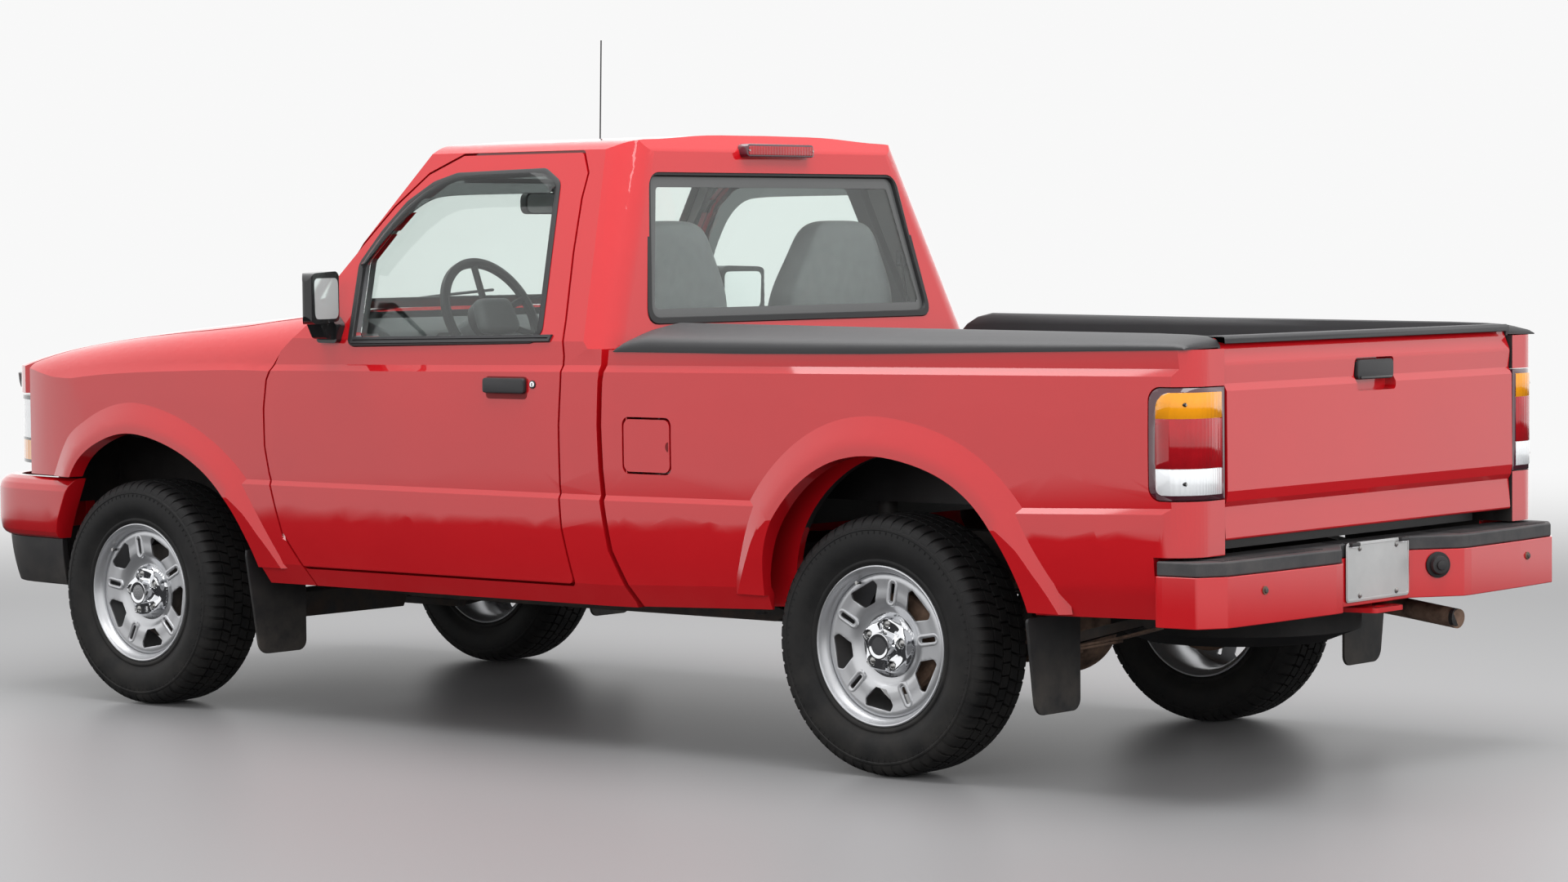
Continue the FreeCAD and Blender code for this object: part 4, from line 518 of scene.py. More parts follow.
def finish(
        name, color, roughness, grain=(400.0, 0.5, 0.0001), dust=(0.3, 0.6), blotch=(0.08, 6.0), dust_color=None,
        ribs=None, **shader):
    """A material with dust, soft colour change and surface grain round one Principled shader.

    grain is its scale, softness and depth, dust its amount and top, blotch its strength and scale, and ribs the
    direction, scale and depth of moulded flutes."""
    made = bpy.data.materials.new(name)
    made.use_nodes = True
    tree = made.node_tree
    main = tree.nodes["Principled BSDF"]
    grime = add(tree, "ShaderNodeGroup", node_tree=bpy.data.node_groups["Road dust"])
    values = {
        "Color": (*color, 1.0), "Roughness": roughness, "Dust Amount": dust[0], "Dust Top": dust[1],
        "Blotch": blotch[0], "Blotch Scale": blotch[1]}
    if dust_color is not None:
        values["Dust Color"] = (*dust_color, 1.0)
    for key, value in values.items():
        grime.inputs[key].default_value = value
    tree.links.new(grime.outputs["Color"], main.inputs["Base Color"])
    tree.links.new(grime.outputs["Roughness"], main.inputs["Roughness"])
    surface = add(tree, "ShaderNodeGroup", node_tree=bpy.data.node_groups["Surface grain"])
    surface.inputs["Scale"].default_value = grain[0]
    surface.inputs["Soft"].default_value = grain[1]
    normal = add(tree, "ShaderNodeBump", {
        "Strength": 1.0, "Distance": grain[2], "Height": surface.outputs["Height"]}).outputs["Normal"]
    if ribs is not None:
        place = add(tree, "ShaderNodeTexCoord").outputs["Object"]
        wave = add(tree, "ShaderNodeTexWave", {"Scale": ribs[1], "Vector": place}, bands_direction=ribs[0])
        normal = add(tree, "ShaderNodeBump", {
            "Distance": ribs[2], "Height": wave.outputs["Fac"], "Normal": normal}).outputs["Normal"]
    tree.links.new(normal, main.inputs["Normal"])
    for key, value in shader.items():
        main.inputs[key.replace("_", " ").title().replace("Ior", "IOR")].default_value = value
    finishes[name] = made


def make_finishes(settings):
    grime_group()
    grain_group()
    paint = tuple(settings.paint_color)
    finish(
        "body red", paint, 0.34, (700.0, 1.0, 0.00002), (0.22, 0.55), (0.05, 3.0), coat_weight=1.0,
        coat_roughness=0.03, coat_ior=1.62, specular_ior_level=0.08)
    # A darker copy of the body paint, with road dust too: painted shade for undersides, the hood's underside and the
    # recesses round the door handles and the fuel door notch
    finish("painted shade red", tuple(c * 0.35 for c in paint), 0.6, (500.0, 1.0, 0.0001), (0.7, 0.9), (0.3, 9.0))
    finish("black plastic", (0.022, 0.022, 0.024), 0.52, (900.0, 0.4, 0.00025), (0.25, 0.7), (0.15, 9.0))
    finish("gloss black", (0.012, 0.012, 0.013), 0.16, (600.0, 1.0, 0.00002), (0.15, 0.6), (0.1, 5.0))
    finish("grey pad", (0.045, 0.046, 0.05), 0.62, (700.0, 0.4, 0.0003), (0.3, 0.9), (0.3, 14.0))
    finish("rubber", (0.016, 0.016, 0.017), 0.6, (500.0, 0.7, 0.0001), (0.3, 0.5), (0.2, 12.0))
    finish(
        "tyre rubber", (0.011, 0.011, 0.0115), 0.62, (420.0, 0.7, 0.00018), (0.22, 0.75), (0.3, 14.0),
        dust_color=(0.075, 0.068, 0.06), specular_ior_level=0.3)
    finish("rim silver", (0.6, 0.61, 0.63), 0.33, (800.0, 1.0, 0.00004), (0.12, 0.7), (0.1, 8.0), metallic=0.75)
    finish("chrome", (0.8, 0.81, 0.83), 0.1, (300.0, 1.0, 0.00004), (0.08, 0.6), (0.06, 10.0), metallic=1.0)
    finish(
        "frame black", (0.028, 0.027, 0.027), 0.6, (160.0, 0.6, 0.0006), (0.5, 0.8), (0.4, 16.0),
        dust_color=(0.13, 0.08, 0.05))
    finish(
        "cast iron", (0.15, 0.145, 0.14), 0.62, (240.0, 0.5, 0.0008), (0.5, 0.7), (0.4, 20.0),
        dust_color=(0.2, 0.1, 0.05), metallic=0.5)
    finish(
        "rusty steel", (0.23, 0.15, 0.11), 0.72, (130.0, 0.6, 0.001), (0.55, 0.6), (0.65, 26.0),
        dust_color=(0.4, 0.25, 0.17), metallic=0.35)
    finish("bright steel", (0.5, 0.5, 0.49), 0.35, (300.0, 1.0, 0.0001), (0.2, 0.6), (0.25, 16.0), metallic=1.0)
    finish(
        "seat cloth", (0.21, 0.215, 0.22), 0.9, (1500.0, 0.6, 0.0006), (0.0, 0.1), (0.2, 30.0), sheen_weight=0.3,
        sheen_roughness=0.5)
    finish("trim grey", (0.14, 0.145, 0.15), 0.62, (900.0, 0.4, 0.0003), (0.0, 0.1), (0.12, 8.0))
    finish("headliner", (0.3, 0.3, 0.29), 0.9, (1100.0, 0.7, 0.0003), (0.0, 0.1), (0.06, 9.0))
    finish("carpet", (0.035, 0.036, 0.04), 0.95, (1300.0, 0.7, 0.0012), (0.2, 0.7), (0.3, 30.0))
    finish("liner black", (0.017, 0.017, 0.018), 0.42, (650.0, 0.4, 0.0003), (0.1, 0.9), (0.35, 11.0))
    finish(
        "lens clear", (0.8, 0.82, 0.84), 0.08, (200.0, 1.0, 0.00005), (0.06, 0.9), (0.05, 6.0),
        ribs=("Y", 34.0, 0.0012), coat_weight=0.6)
    finish(
        "lens amber", (0.9, 0.34, 0.008), 0.1, (220.0, 1.0, 0.0001), (0.06, 0.9), (0.12, 9.0),
        ribs=("Y", 20.0, 0.0006), coat_weight=0.3)
    finish(
        "lens red", (0.42, 0.006, 0.012), 0.1, (220.0, 1.0, 0.0001), (0.06, 0.9), (0.35, 9.0),
        ribs=("Y", 26.0, 0.0006), coat_weight=0.25)
    finish("lens border", (0.07, 0.012, 0.022), 0.09, (220.0, 1.0, 0.00005), (0.06, 0.9), (0.1, 9.0), coat_weight=0.8)
    finish("frit band", (0.085, 0.088, 0.088), 0.28, (900.0, 1.0, 0.00004), (0.03, 0.9), (0.05, 9.0))
    finish(
        "smoked glass", (0.16, 0.17, 0.17), 0.03, (60.0, 1.0, 0.00001), (0.05, 0.9), (0.01, 4.0),
        transmission_weight=0.92, ior=1.2)
    finish("dial face", (0.02, 0.02, 0.022), 0.35, (300.0, 1.0, 0.0), (0.0, 0.1), (0.05, 9.0))
    finish("plate", (0.55, 0.56, 0.56), 0.35, (300.0, 1.0, 0.0001), (0.15, 0.9), (0.15, 12.0), metallic=0.4)
    finish(
        "smoked plastic", (0.006, 0.007, 0.008), 0.07, (200.0, 1.0, 0.00003), (0.08, 0.8), (0.05, 6.0), coat_weight=0.5)
    finish(
        "glass", tuple(settings.glass_color), 0.0, (60.0, 1.0, 0.00001), (0.03, 0.9), (0.01, 4.0),
        transmission_weight=1.0, ior=1.45)
    finish("mirror", (0.84, 0.88, 0.88), 0.06, (60.0, 1.0, 0.00001), (0.02, 0.9), (0.02, 4.0), metallic=0.55)
    finish("engine paint", (0.09, 0.095, 0.1), 0.5, (260.0, 0.5, 0.0005), (0.4, 0.8), (0.4, 16.0), metallic=0.4)


# The CAD nodes that get each finish
node_finishes = {
    "black plastic": "front_valance fuel_tank grille mirror_left mirror_right rail_caps steering_wheel",
    "body red": (
        "bed_side_left bed_side_right cab_shell door_left door_right fender_left fender_right front_bumper "
        "fuel_door hood rear_bumper tailgate tow_bracket"),
    "cast iron": "knuckle_left knuckle_right",
    "engine paint": "engine",
    "frame black": "cross_members frame_rails front_arms front_structure leaf_springs rear_axle",
    "glass": "cab_glass door_glass_left door_glass_right",
    "gloss black": "antenna",
    "grey pad": "bumper_pad",
    "lens clear": "headlamps",
    "lens red": "high_brake_lamp tail_lamps",
    "liner black": "bed_box",
    "rim silver": "rim_front_left rim_front_right rim_rear_left rim_rear_right",
    "rubber": "mud_flaps rear_window_seal",
    "rusty steel": "exhaust",
    "seat cloth": "armrest seats",
    "smoked plastic": "hood_deflector",
    "trim grey": "dashboard",
    "tyre rubber": "spare_wheel tyre_front_left tyre_front_right tyre_rear_left tyre_rear_right",
}


# ---- settings


class TRUCK_PG_settings(bpy.types.PropertyGroup):
    """Sizes and colours that a user may change before the pieces are made."""

    paint_color: bpy.props.FloatVectorProperty(
        name="Paint", description="Body paint, as a linear colour", subtype="COLOR", default=(0.52, 0.006, 0.011),
        min=0.0, max=1.0)
    glass_color: bpy.props.FloatVectorProperty(
        name="Glass", description="Window glass tint", subtype="COLOR", default=(0.9, 0.96, 0.935), min=0.0, max=1.0)
    floor_color: bpy.props.FloatVectorProperty(
        name="Floor", description="Studio floor", subtype="COLOR", default=(0.25, 0.25, 0.255), min=0.0, max=1.0)
    light_power: bpy.props.FloatProperty(
        name="Overhead Light", description="Power of the soft box over the truck", default=420.0, min=0.0, unit="POWER")
    edge_roll: bpy.props.FloatProperty(
        name="Panel Edge", description="Radius of the rolled panel edges", default=0.002, min=0.0, unit="LENGTH")


class TRUCK_OT_finishes(bpy.types.Operator):
    """Makes the paints, plastics, metals, glass and cloth, and gives the CAD pieces theirs"""

    bl_idname = "truck.finishes"
    bl_label = "Finishes"

    def execute(self, context):
        make_finishes(context.scene.truck_settings)
        for finish_name, names in node_finishes.items():
            for name in names.split():
                nodes[name].data.materials.clear()
                nodes[name].data.materials.append(finishes[finish_name])
        return {"FINISHED"}


def mirrored_only(tree, path):
    """1 for rays off a shiny surface, but not for those that pass through glass."""
    return math_node(tree, "SUBTRACT", path["Is Glossy Ray"], path["Is Transmission Ray"], use_clamp=True)


class TRUCK_OT_stage(bpy.types.Operator):
    """Makes the pale floor, the white surroundings, the soft lights and the camera at the photograph's view"""

    bl_idname = "truck.stage"
    bl_label = "Stage"

    def execute(self, context):
        settings = context.scene.truck_settings
        floor_mesh = bpy.data.meshes.new("studio_floor")
        reach = 60.0
        floor_mesh.from_pydata(
            [(-reach, -reach, 0), (reach, -reach, 0), (reach, reach, 0), (-reach, reach, 0)], [], [(0, 1, 2, 3)])
        floor = link(bpy.data.objects.new("studio_floor", floor_mesh))
        concrete = bpy.data.materials.new("studio floor")
        concrete.use_nodes = True
        tree = concrete.node_tree
        main = tree.nodes["Principled BSDF"]
        main.inputs["Roughness"].default_value = 0.42
        main.inputs["Specular IOR Level"].default_value = 0.35
        place = add(tree, "ShaderNodeTexCoord").outputs["Object"]
        cloud = add(tree, "ShaderNodeTexNoise", {"Scale": 260.0, "Detail": 3.0, "Vector": place}).outputs["Fac"]
        floor_color = Vector(settings.floor_color)
        speckle = color_mix(tree, cloud, (*(floor_color * 0.93), 1.0), (*(floor_color * 1.05), 1.0))
        away = add(tree, "ShaderNodeVectorMath", {0: place}, operation="LENGTH").outputs["Value"]

        # The floor fades to the white backdrop, both in its colour and in what the camera sees of it
        far = span(tree, away, 4.5, 13.0)
        tree.links.new(color_mix(tree, far, speckle, (0.9, 0.9, 0.9, 1.0)), main.inputs["Base Color"])
        pale = add(tree, "ShaderNodeEmission", {"Color": (0.94, 0.94, 0.94, 1.0)})
        path = add(tree, "ShaderNodeLightPath").outputs
        seen = add(tree, "ShaderNodeMixShader", {
            "Fac": math_node(tree, "MULTIPLY", far, path["Is Camera Ray"]), 1: main.outputs[0], 2: pale.outputs[0]})

        # In mirrored rays the floor glows as a painted reflection: painted shade, dark near the truck, and white
        # beyond, as the paint of the doors shows it
        painted_reflection_color = color_mix(tree, span(tree, away, 5.2, 8.8), (0.035, 0.035, 0.037, 1.0), (1.0, 1.0, 1.0, 1.0))
        mirrored = add(tree, "ShaderNodeEmission", {"Strength": 1.2, "Color": painted_reflection_color})
        last = add(tree, "ShaderNodeMixShader", {
            "Fac": mirrored_only(tree, path), 1: seen.outputs[0], 2: mirrored.outputs[0]})
        tree.links.new(last.outputs[0], tree.nodes["Material Output"].inputs["Surface"])
        floor_mesh.materials.append(concrete)

        # The world is soft light, white to the camera and through glass, and bright in mirrored rays
        context.scene.world = bpy.data.worlds.new("studio")
        context.scene.world.use_nodes = True
        tree = context.scene.world.node_tree
        sky = tree.nodes["Background"]
        sky.inputs["Color"].default_value = (1.0, 1.0, 1.0, 1.0)
        sky.inputs["Strength"].default_value = 0.52
        white = add(tree, "ShaderNodeBackground", {"Color": (0.94, 0.94, 0.94, 1.0), "Strength": 1.0})
        bright = add(tree, "ShaderNodeBackground", {"Color": (0.98, 0.98, 0.98, 1.0), "Strength": 1.25})
        path = add(tree, "ShaderNodeLightPath").outputs
        direct = math_node(tree, "MAXIMUM", path["Is Camera Ray"], path["Is Transmission Ray"])
        seen = add(tree, "ShaderNodeMixShader", {"Fac": direct, 1: sky.outputs[0], 2: white.outputs[0]})
        last = add(tree, "ShaderNodeMixShader", {
            "Fac": mirrored_only(tree, path), 1: seen.outputs[0], 2: bright.outputs[0]})
        tree.links.new(last.outputs[0], tree.nodes["World Output"].inputs["Surface"])

        for name, place, size, power in (
            ("overhead", (-0.4, 0.4, 5.2), (7.5, 4.5), settings.light_power),
            ("left_bank", (-3.0, 7.5, 3.2), (7.0, 3.0), settings.light_power * 0.55),
            ("rear_bank", (-8.0, 0.5, 3.0), (5.0, 3.0), settings.light_power * 0.5),
        ):
            lamp = bpy.data.lights.new(name, "AREA")
            lamp.shape = "RECTANGLE"
            lamp.size, lamp.size_y = size
            lamp.energy = power
            lamp_object = link(bpy.data.objects.new(name, lamp))
            lamp_object.location = place
            aim = Vector((-0.3, 0.0, 0.6)) - Vector(place)
            lamp_object.rotation_euler = aim.to_track_quat("-Z", "Y").to_euler()
            if name != "overhead":
                lamp_object.visible_glossy = False

        ahead = Vector((
            math.cos(camera_pitch) * math.cos(camera_yaw), math.cos(camera_pitch) * math.sin(camera_yaw),
            -math.sin(camera_pitch)))
        right = ahead.cross(Vector((0, 0, 1))).normalized()
        up = right.cross(ahead)
        across = right * math.cos(camera_roll) + up * math.sin(camera_roll)
        above = up * math.cos(camera_roll) - right * math.sin(camera_roll)
        lens = bpy.data.cameras.new("photo_camera")
        lens.lens = camera_lens
        lens.sensor_width = 36.0
        lens.clip_end = 200.0
        camera = link(bpy.data.objects.new("photo_camera", lens))
        camera.matrix_world = Matrix((
            (across.x, above.x, -ahead.x, camera_place.x),
            (across.y, above.y, -ahead.y, camera_place.y),
            (across.z, above.z, -ahead.z, camera_place.z),
            (0.0, 0.0, 0.0, 1.0)))
        context.scene.camera = camera
        context.scene.view_settings.view_transform = "Standard"
        return {"FINISHED"}


class TRUCK_OT_panels(bpy.types.Operator):
    """Makes the painted body panels with rolled edges"""

    bl_idname = "truck.panels"
    bl_label = "Body Panels"

    def execute(self, context):
        roll = context.scene.truck_settings.edge_roll

        def side_at(z):
            return body_half - 0.016 - 0.405 * max(0.0, z - belt_height)

        def inside_cab(c, n):
            inward = n.dot(Vector((0.1, 0.0, 1.02)) - c)
            deep = side_at(c.z) - abs(c.y)
            return c.z > 0.47 and c.x > -0.42 and (
                (inward > 0.0 and deep > 0.03) or (deep > 0.045 and 1.12 < c.z < 1.6 and -0.16 < c.x < 0.62))

        def under(c, n):
            return c.z < 0.46 and n.z < -0.8

        def behind_skin(c, n):
            return abs(c.y) < body_half - 0.045 and n.y * c.y < 0.25 and c.z < 1.06 and abs(n.x) < 0.9 and c.x > -2.26

        def roof_lining(c, n):
            return inside_cab(c, n) and c.z > 1.3

        def floor_lining(c, n):
            return inside_cab(c, n) and c.z < 0.66

        def door_inside(c, n):
            deep = side_at(c.z) - abs(c.y)
            return (n.y * c.y < -0.05 and deep > 0.022) or (deep > 0.03 and c.z > 1.115)

        # Downward faces low on the cab get the body paint darkened as painted shade
        cad_copy("cab_shell", "cab_panel", "body red", roll, zones=(
            ("headliner", roof_lining), ("carpet", floor_lining), ("trim grey", inside_cab), ("painted shade red", under)))
        for side in ("left", "right"):
            cad_copy("door_" + side, "door_%s_panel" % side, "body red", roll, zones=(("trim grey", door_inside),))
            cad_copy(
                "fender_" + side, "fender_%s_panel" % side, "body red", roll, zones=(("frame black", behind_skin),))
            cad_copy(
                "bed_side_" + side, "bed_side_%s_panel" % side, "body red", roll, zones=(("frame black", behind_skin),))
        # The hood's underside gets the body paint darkened as painted shade
        cad_copy("hood", "hood_panel", "body red", roll, zones=(("painted shade red", lambda c, n: n.z < -0.4),))
        for node in ("tailgate", "fuel_door", "front_bumper", "rear_bumper", "tow_bracket"):
            cad_copy(node, node + "_panel", "body red", roll)
        return {"FINISHED"}


# ---- repeated shapes


def round_axle(tree, given):
    """Points at the axle, each with its own turn about Y."""
    index = add(tree, "GeometryNodeInputIndex").outputs[0]
    share = math_node(tree, "DIVIDE", math_node(tree, "MULTIPLY", index, 2.0 * math.pi), given["Count"])
    return {
        "Points": add(tree, "GeometryNodePoints", {"Count": given["Count"]}).outputs[0],
        "Rotation": add(tree, "ShaderNodeCombineXYZ", {"Y": share}).outputs[0]}


def along_line(tree, given):
    """Points one step apart on a line."""
    line = add(tree, "GeometryNodeMeshLine", {"Count": given["Count"], "Offset": given["Step"]}, mode="OFFSET")
    return {"Points": line.outputs[0]}


# Each repeat's further inputs and where its copies stand
repeats = {
    "Repeat round axle": ((("Count", "Int", 12),), round_axle),
    "Repeat along line": ((("Count", "Int", 10), ("Step", "Vector", (0.0, 0.03, 0.0))), along_line),
}


def repeat_tree(name):
    """Geometry Nodes that repeat the modifier's own mesh by the named rule, in the given finish."""
    takes, rule = repeats[name]
    tree, given, result = new_group(
        name, "GeometryNodeTree", (("Geometry", "Geometry"), *takes, ("Finish", "Material")),
        (("Geometry", "Geometry"),))
    copies = add(tree, "GeometryNodeInstanceOnPoints", {"Instance": given["Geometry"], **rule(tree, given)})
    real = add(tree, "GeometryNodeRealizeInstances", {0: copies.outputs[0]})
    coat = add(tree, "GeometryNodeSetMaterial", {"Geometry": real.outputs[0], "Material": given["Finish"]})
    tree.links.new(coat.outputs[0], result[0])
    return tree


def repeated(obj, name, finish_name, **values):
    """Runs a repeat tree on the object and swaps its mesh for the plain result."""
    tree = bpy.data.node_groups.get(name) or repeat_tree(name)
    values["Finish"] = finishes[finish_name]
    rule = obj.modifiers.new("Repeat", "NODES")
    rule.node_group = tree
    for item in tree.interface.items_tree:
        if item.item_type == "SOCKET" and item.in_out == "INPUT" and item.name in values:
            rule[item.identifier] = values[item.name]
    graph = bpy.context.evaluated_depsgraph_get()
    mesh = bpy.data.meshes.new_from_object(obj.evaluated_get(graph))
    obj.modifiers.remove(rule)
    obj.data = mesh
    return obj


def row_of(kit, low, high, count, step, finish_name, bevel=0.0):
    rib = Kit("rib", None)
    rib.box(low, high, finish_name, bevel, 1)
    kit.mesh_of(
        repeated(object_from(rib.bm, "rib"), "Repeat along line", finish_name, Count=count, Step=step), finish_name)


# ---- wheels

tread_pitches = 62
carcass_radius = 0.3292
spokes = 5
lug_circle = 0.05715
spoke_turns = [math.radians(72.0 * k + 36.0) for k in range(spokes)]


def crown(w):
    """Height of the tread over the axle at a place across the tyre."""
    w = abs(w)
    table = [
        (0.0, 0.338), (0.05, 0.3375), (0.072, 0.3362), (0.086, 0.3325), (0.096, 0.3265), (0.103, 0.317),
        (0.1065, 0.308)]
    for (w0, r0), (w1, r1) in zip(table, table[1:]):
        if w <= w1:
            return r0 + (r1 - r0) * (w - w0) / (w1 - w0)
    return table[-1][1]


def tread_pitch():
    """One pitch of the tread at the top of the wheel: a centre rib, two inner blocks and two shoulder blocks."""
    pitch = 2.0 * math.pi / tread_pitches

    # Each block's rows across the tyre, then its start, width, lean and skew as shares of a pitch
    blocks = [
        ([-0.014, 0.0, 0.014], 0.03, 0.9, 0.0, 0.0),
        ([0.02, 0.034, 0.049], 0.06, 0.84, 0.35, 0.3),
        ([0.056, 0.072, 0.086, 0.096, 0.103, 0.1065], 0.1, 0.8, 0.65, 0.12),
    ]
    part = bmesh.new()
    for side in (1.0, -1.0):
        for rows, start, wide, lean, skew in blocks:
            if side < 0.0 and rows[0] < 0.0:
                continue
            rings = []
            for w in rows:
                across = (w - rows[0]) / (rows[-1] - rows[0])
                a0 = pitch * (start + lean + skew * across)
                a1 = a0 + pitch * wide
                top = crown(w)
                low = min(top - 0.0085, carcass_radius - 0.001) if w < 0.095 else top - 0.006
                rings.append([
                    part.verts.new((r * math.sin(a * side), side * w, r * math.cos(a * side)))
                    for a, r in ((a0, low), (a0 + 0.002, top), (a1 - 0.002, top), (a1, low))])
            for a, b in zip(rings, rings[1:]):
                strip(part, a, b)
            part.faces.new(rings[0])
            part.faces.new(list(reversed(rings[-1])))
    bmesh.ops.recalc_face_normals(part, faces=part.faces)
    return object_from(part, "tread_pitch")


def tyre_kit():
    kit = Kit("tyre", None)
    outer = [
        (0.1975, 0.08), (0.202, 0.0885), (0.2085, 0.0925), (0.2125, 0.0965), (0.217, 0.099), (0.2215, 0.099),
        (0.2245, 0.0968), (0.2275, 0.0975), (0.24, 0.105), (0.252, 0.1095), (0.264, 0.1116), (0.276, 0.1119),
        (0.288, 0.111), (0.298, 0.1092), (0.3, 0.1104), (0.304, 0.1098), (0.3055, 0.1072), (0.312, 0.1045),
        (0.319, 0.1), (0.3245, 0.094), (0.328, 0.086), (0.3292, 0.07), (carcass_radius, 0.054), (0.3285, 0.0525),
        (carcass_radius, 0.018)]
    profile = outer + [(r, -w) for r, w in reversed(outer)]
    inner = [
        (0.205, -0.074), (0.25, -0.098), (0.3, -0.09), (0.318, -0.06), (0.318, 0.06), (0.3, 0.09), (0.25, 0.098),
        (0.205, 0.074)]
    kit.lathe(profile + inner, (0, 0, 0), "tyre rubber", steps=128)
    kit.mesh_of(repeated(tread_pitch(), "Repeat round axle", "tyre rubber", Count=tread_pitches), "tyre rubber")

    # A ring of fine ticks on each side wall
    tick = bmesh.new()
    low, high = 0.2895, 0.2965
    for w0, w1 in ((0.109, 0.1116), (-0.1116, -0.109)):
        place = Matrix.Translation((0, (w0 + w1) / 2, (low + high) / 2))
        bmesh.ops.create_cube(tick, size=1.0, matrix=place @ Matrix.Diagonal((0.0022, w1 - w0, high - low, 1.0)))
    kit.mesh_of(repeated(object_from(tick, "tick"), "Repeat round axle", "tyre rubber", Count=96), "tyre rubber")
    return kit


def stadium(half_x, r0, r1, w):
    """A loop of points round a long radial slot."""
    steps = 6
    return [
        Vector((half_x * math.cos(a), w, r + half_x * math.sin(a)))
        for r, start in ((r1, 0.0), (r0, math.pi)) for a in [start + math.pi * k / steps for k in range(steps + 1)]]


def rim_kit():
    kit = Kit("rim", None)
    barrel = [
        (0.2085, 0.0915), (0.2078, 0.0958), (0.205, 0.0972), (0.202, 0.096), (0.2, 0.092), (0.1978, 0.085),
        (0.193, 0.08), (0.1885, 0.074), (0.1868, 0.066), (0.1862, 0.04), (0.1858, -0.07), (0.193, -0.084),
        (0.2, -0.09), (0.204, -0.0965), (0.208, -0.096), (0.2082, -0.091), (0.202, -0.085), (0.1966, -0.08),
        (0.1966, 0.079), (0.2, 0.086), (0.205, 0.09)]
    kit.lathe(barrel, (0, 0, 0), "rim silver", steps=120)
    face = [
        (0.1869, 0.065), (0.184, 0.069), (0.178, 0.0715), (0.169, 0.0712), (0.156, 0.0692), (0.14, 0.0688),
        (0.124, 0.069), (0.113, 0.0672), (0.104, 0.061), (0.097, 0.0545), (0.088, 0.0515), (0.05, 0.051),
        (0.05, 0.046), (0.09, 0.0465), (0.099, 0.0495), (0.107, 0.056), (0.115, 0.0625), (0.124, 0.064),
        (0.156, 0.0642), (0.169, 0.066), (0.178, 0.0665), (0.1869, 0.06)]
    disc = Kit("disc", None)
    disc.lathe(face, (0, 0, 0), "rim silver", steps=160)
    disc_object = object_from(disc.bm, "disc")

    # Five windows with a narrow slot between each two, cut through the disc
    cutter = bmesh.new()
    window = rounded([
        (-0.018, 0.113), (0.018, 0.113), (0.047, 0.15, 0.012), (0.041, 0.166), (-0.041, 0.166), (-0.047, 0.15, 0.012)],
        0.007)
    slot_shape = rounded([(-0.0055, 0.116), (0.0055, 0.116), (0.0068, 0.163), (-0.0068, 0.163)], 0.0055)
    for i in range(spokes):
        for outline, turn in ((window, 72.0 * i), (slot_shape, 72.0 * i + 36.0)):
            matrix = Matrix.Rotation(math.radians(turn), 3, "Y")
            prism(cutter, *([cutter.verts.new(matrix @ Vector((x, w, z))) for x, z in outline] for w in (0.02, 0.12)))
    bmesh.ops.recalc_face_normals(cutter, faces=cutter.faces)
    cutter_object = object_from(cutter, "window_cutter")
    holes = disc_object.modifiers.new("Windows", "BOOLEAN")
    holes.object = cutter_object
    holes.solver = "EXACT"
    roll = disc_object.modifiers.new("Pressed edge", "BEVEL")
    roll.width = 0.0022
    roll.segments = 3
    roll.angle_limit = math.radians(42.0)
    kit.mesh_of(disc_object, "rim silver")
    bpy.data.objects.remove(cutter_object)

    # A raised lip round each slot
    for turn in spoke_turns:
        matrix = Matrix.Rotation(turn, 3, "Y")
        line = [matrix @ p for p in stadium(0.0115, 0.118, 0.16, 0.0682)]
        part = bmesh.new()
        rows = []
        for k, p in enumerate(line):
            along = (line[(k + 1) % len(line)] - line[k - 1]).normalized()
            across = along.cross(Vector((0, 1, 0))).normalized()
            rows.append([
                part.verts.new(p + across * (0.0052 * math.cos(a)) + Vector((0, 0.004, 0)) * math.sin(a))
                for a in turns(8)])
        loop_of_rows(part, rows)
        kit.take(part, "rim silver")
    kit.bar((0.0, 0.06, 0.176), (0.0, 0.082, 0.178), 0.0042, "rubber", r2=0.0032)
    kit.bar((0.0, 0.082, 0.178), (0.0, 0.088, 0.1785), 0.0046, "bright steel")
    return kit


def ease(t):
    """0 to 1 with soft ends, and no further."""
    t = max(0.0, min(1.0, t))
    return t * t * (3.0 - 2.0 * t)


def cap_height(r, angle):
    """The centre cap's height over the wheel's middle plane: a boss, five lobes and a pit in each lobe."""
    lobe = 0.5 + 0.5 * math.cos(spokes * (angle - spoke_turns[0]))
    edge = 0.0765 + 0.0065 * lobe
    if r >= edge:
        return 0.0525
    height = 0.056 + (0.069 + 0.0135 * lobe - 0.056) * ease((edge - r) / 0.014)
    rise = ease((0.041 - r) / 0.007)
    height += (0.101 - height) * rise
    height -= 0.0022 * max(0.0, min(1.0, (0.029 - r) / 0.004))
    for at in spoke_turns:
        gap = math.hypot(
            r * math.sin(angle) - lug_circle * math.sin(at), r * math.cos(angle) - lug_circle * math.cos(at))
        height -= 0.015 * ease((0.0135 - gap) / 0.003) * (1.0 - rise)
    return height


def cap_kit():
    kit = Kit("cap", None)
    part = bmesh.new()
    middle = part.verts.new((0, cap_height(0.0, 0.0), 0))
    sides, steps, edge = 180, 44, 0.084
    rows = [
        [part.verts.new((r * math.sin(a), cap_height(r, a), r * math.cos(a))) for a in turns(sides)]
        for r in [edge * (k / steps) for k in range(1, steps + 1)]]
    for k in range(sides):
        part.faces.new((middle, rows[0][(k + 1) % sides], rows[0][k]))
    rows.append([part.verts.new((v.co.x, 0.0505, v.co.z)) for v in rows[-1]])
    for a, b in zip(rows, rows[1:]):
        strip(part, a, b)
    part.faces.new(rows[-1])
    kit.take(part, "chrome")
    for a in spoke_turns:
        x = lug_circle * math.sin(a)
        z = lug_circle * math.cos(a)
        kit.bar((x, 0.058, z), (x, 0.0745, z), 0.0098, "bright steel", sides=6, bevel=0.0008)
        kit.bar((x, 0.0745, z), (x, 0.0775, z), 0.0088, "bright steel", r2=0.0045, sides=18)
    return kit


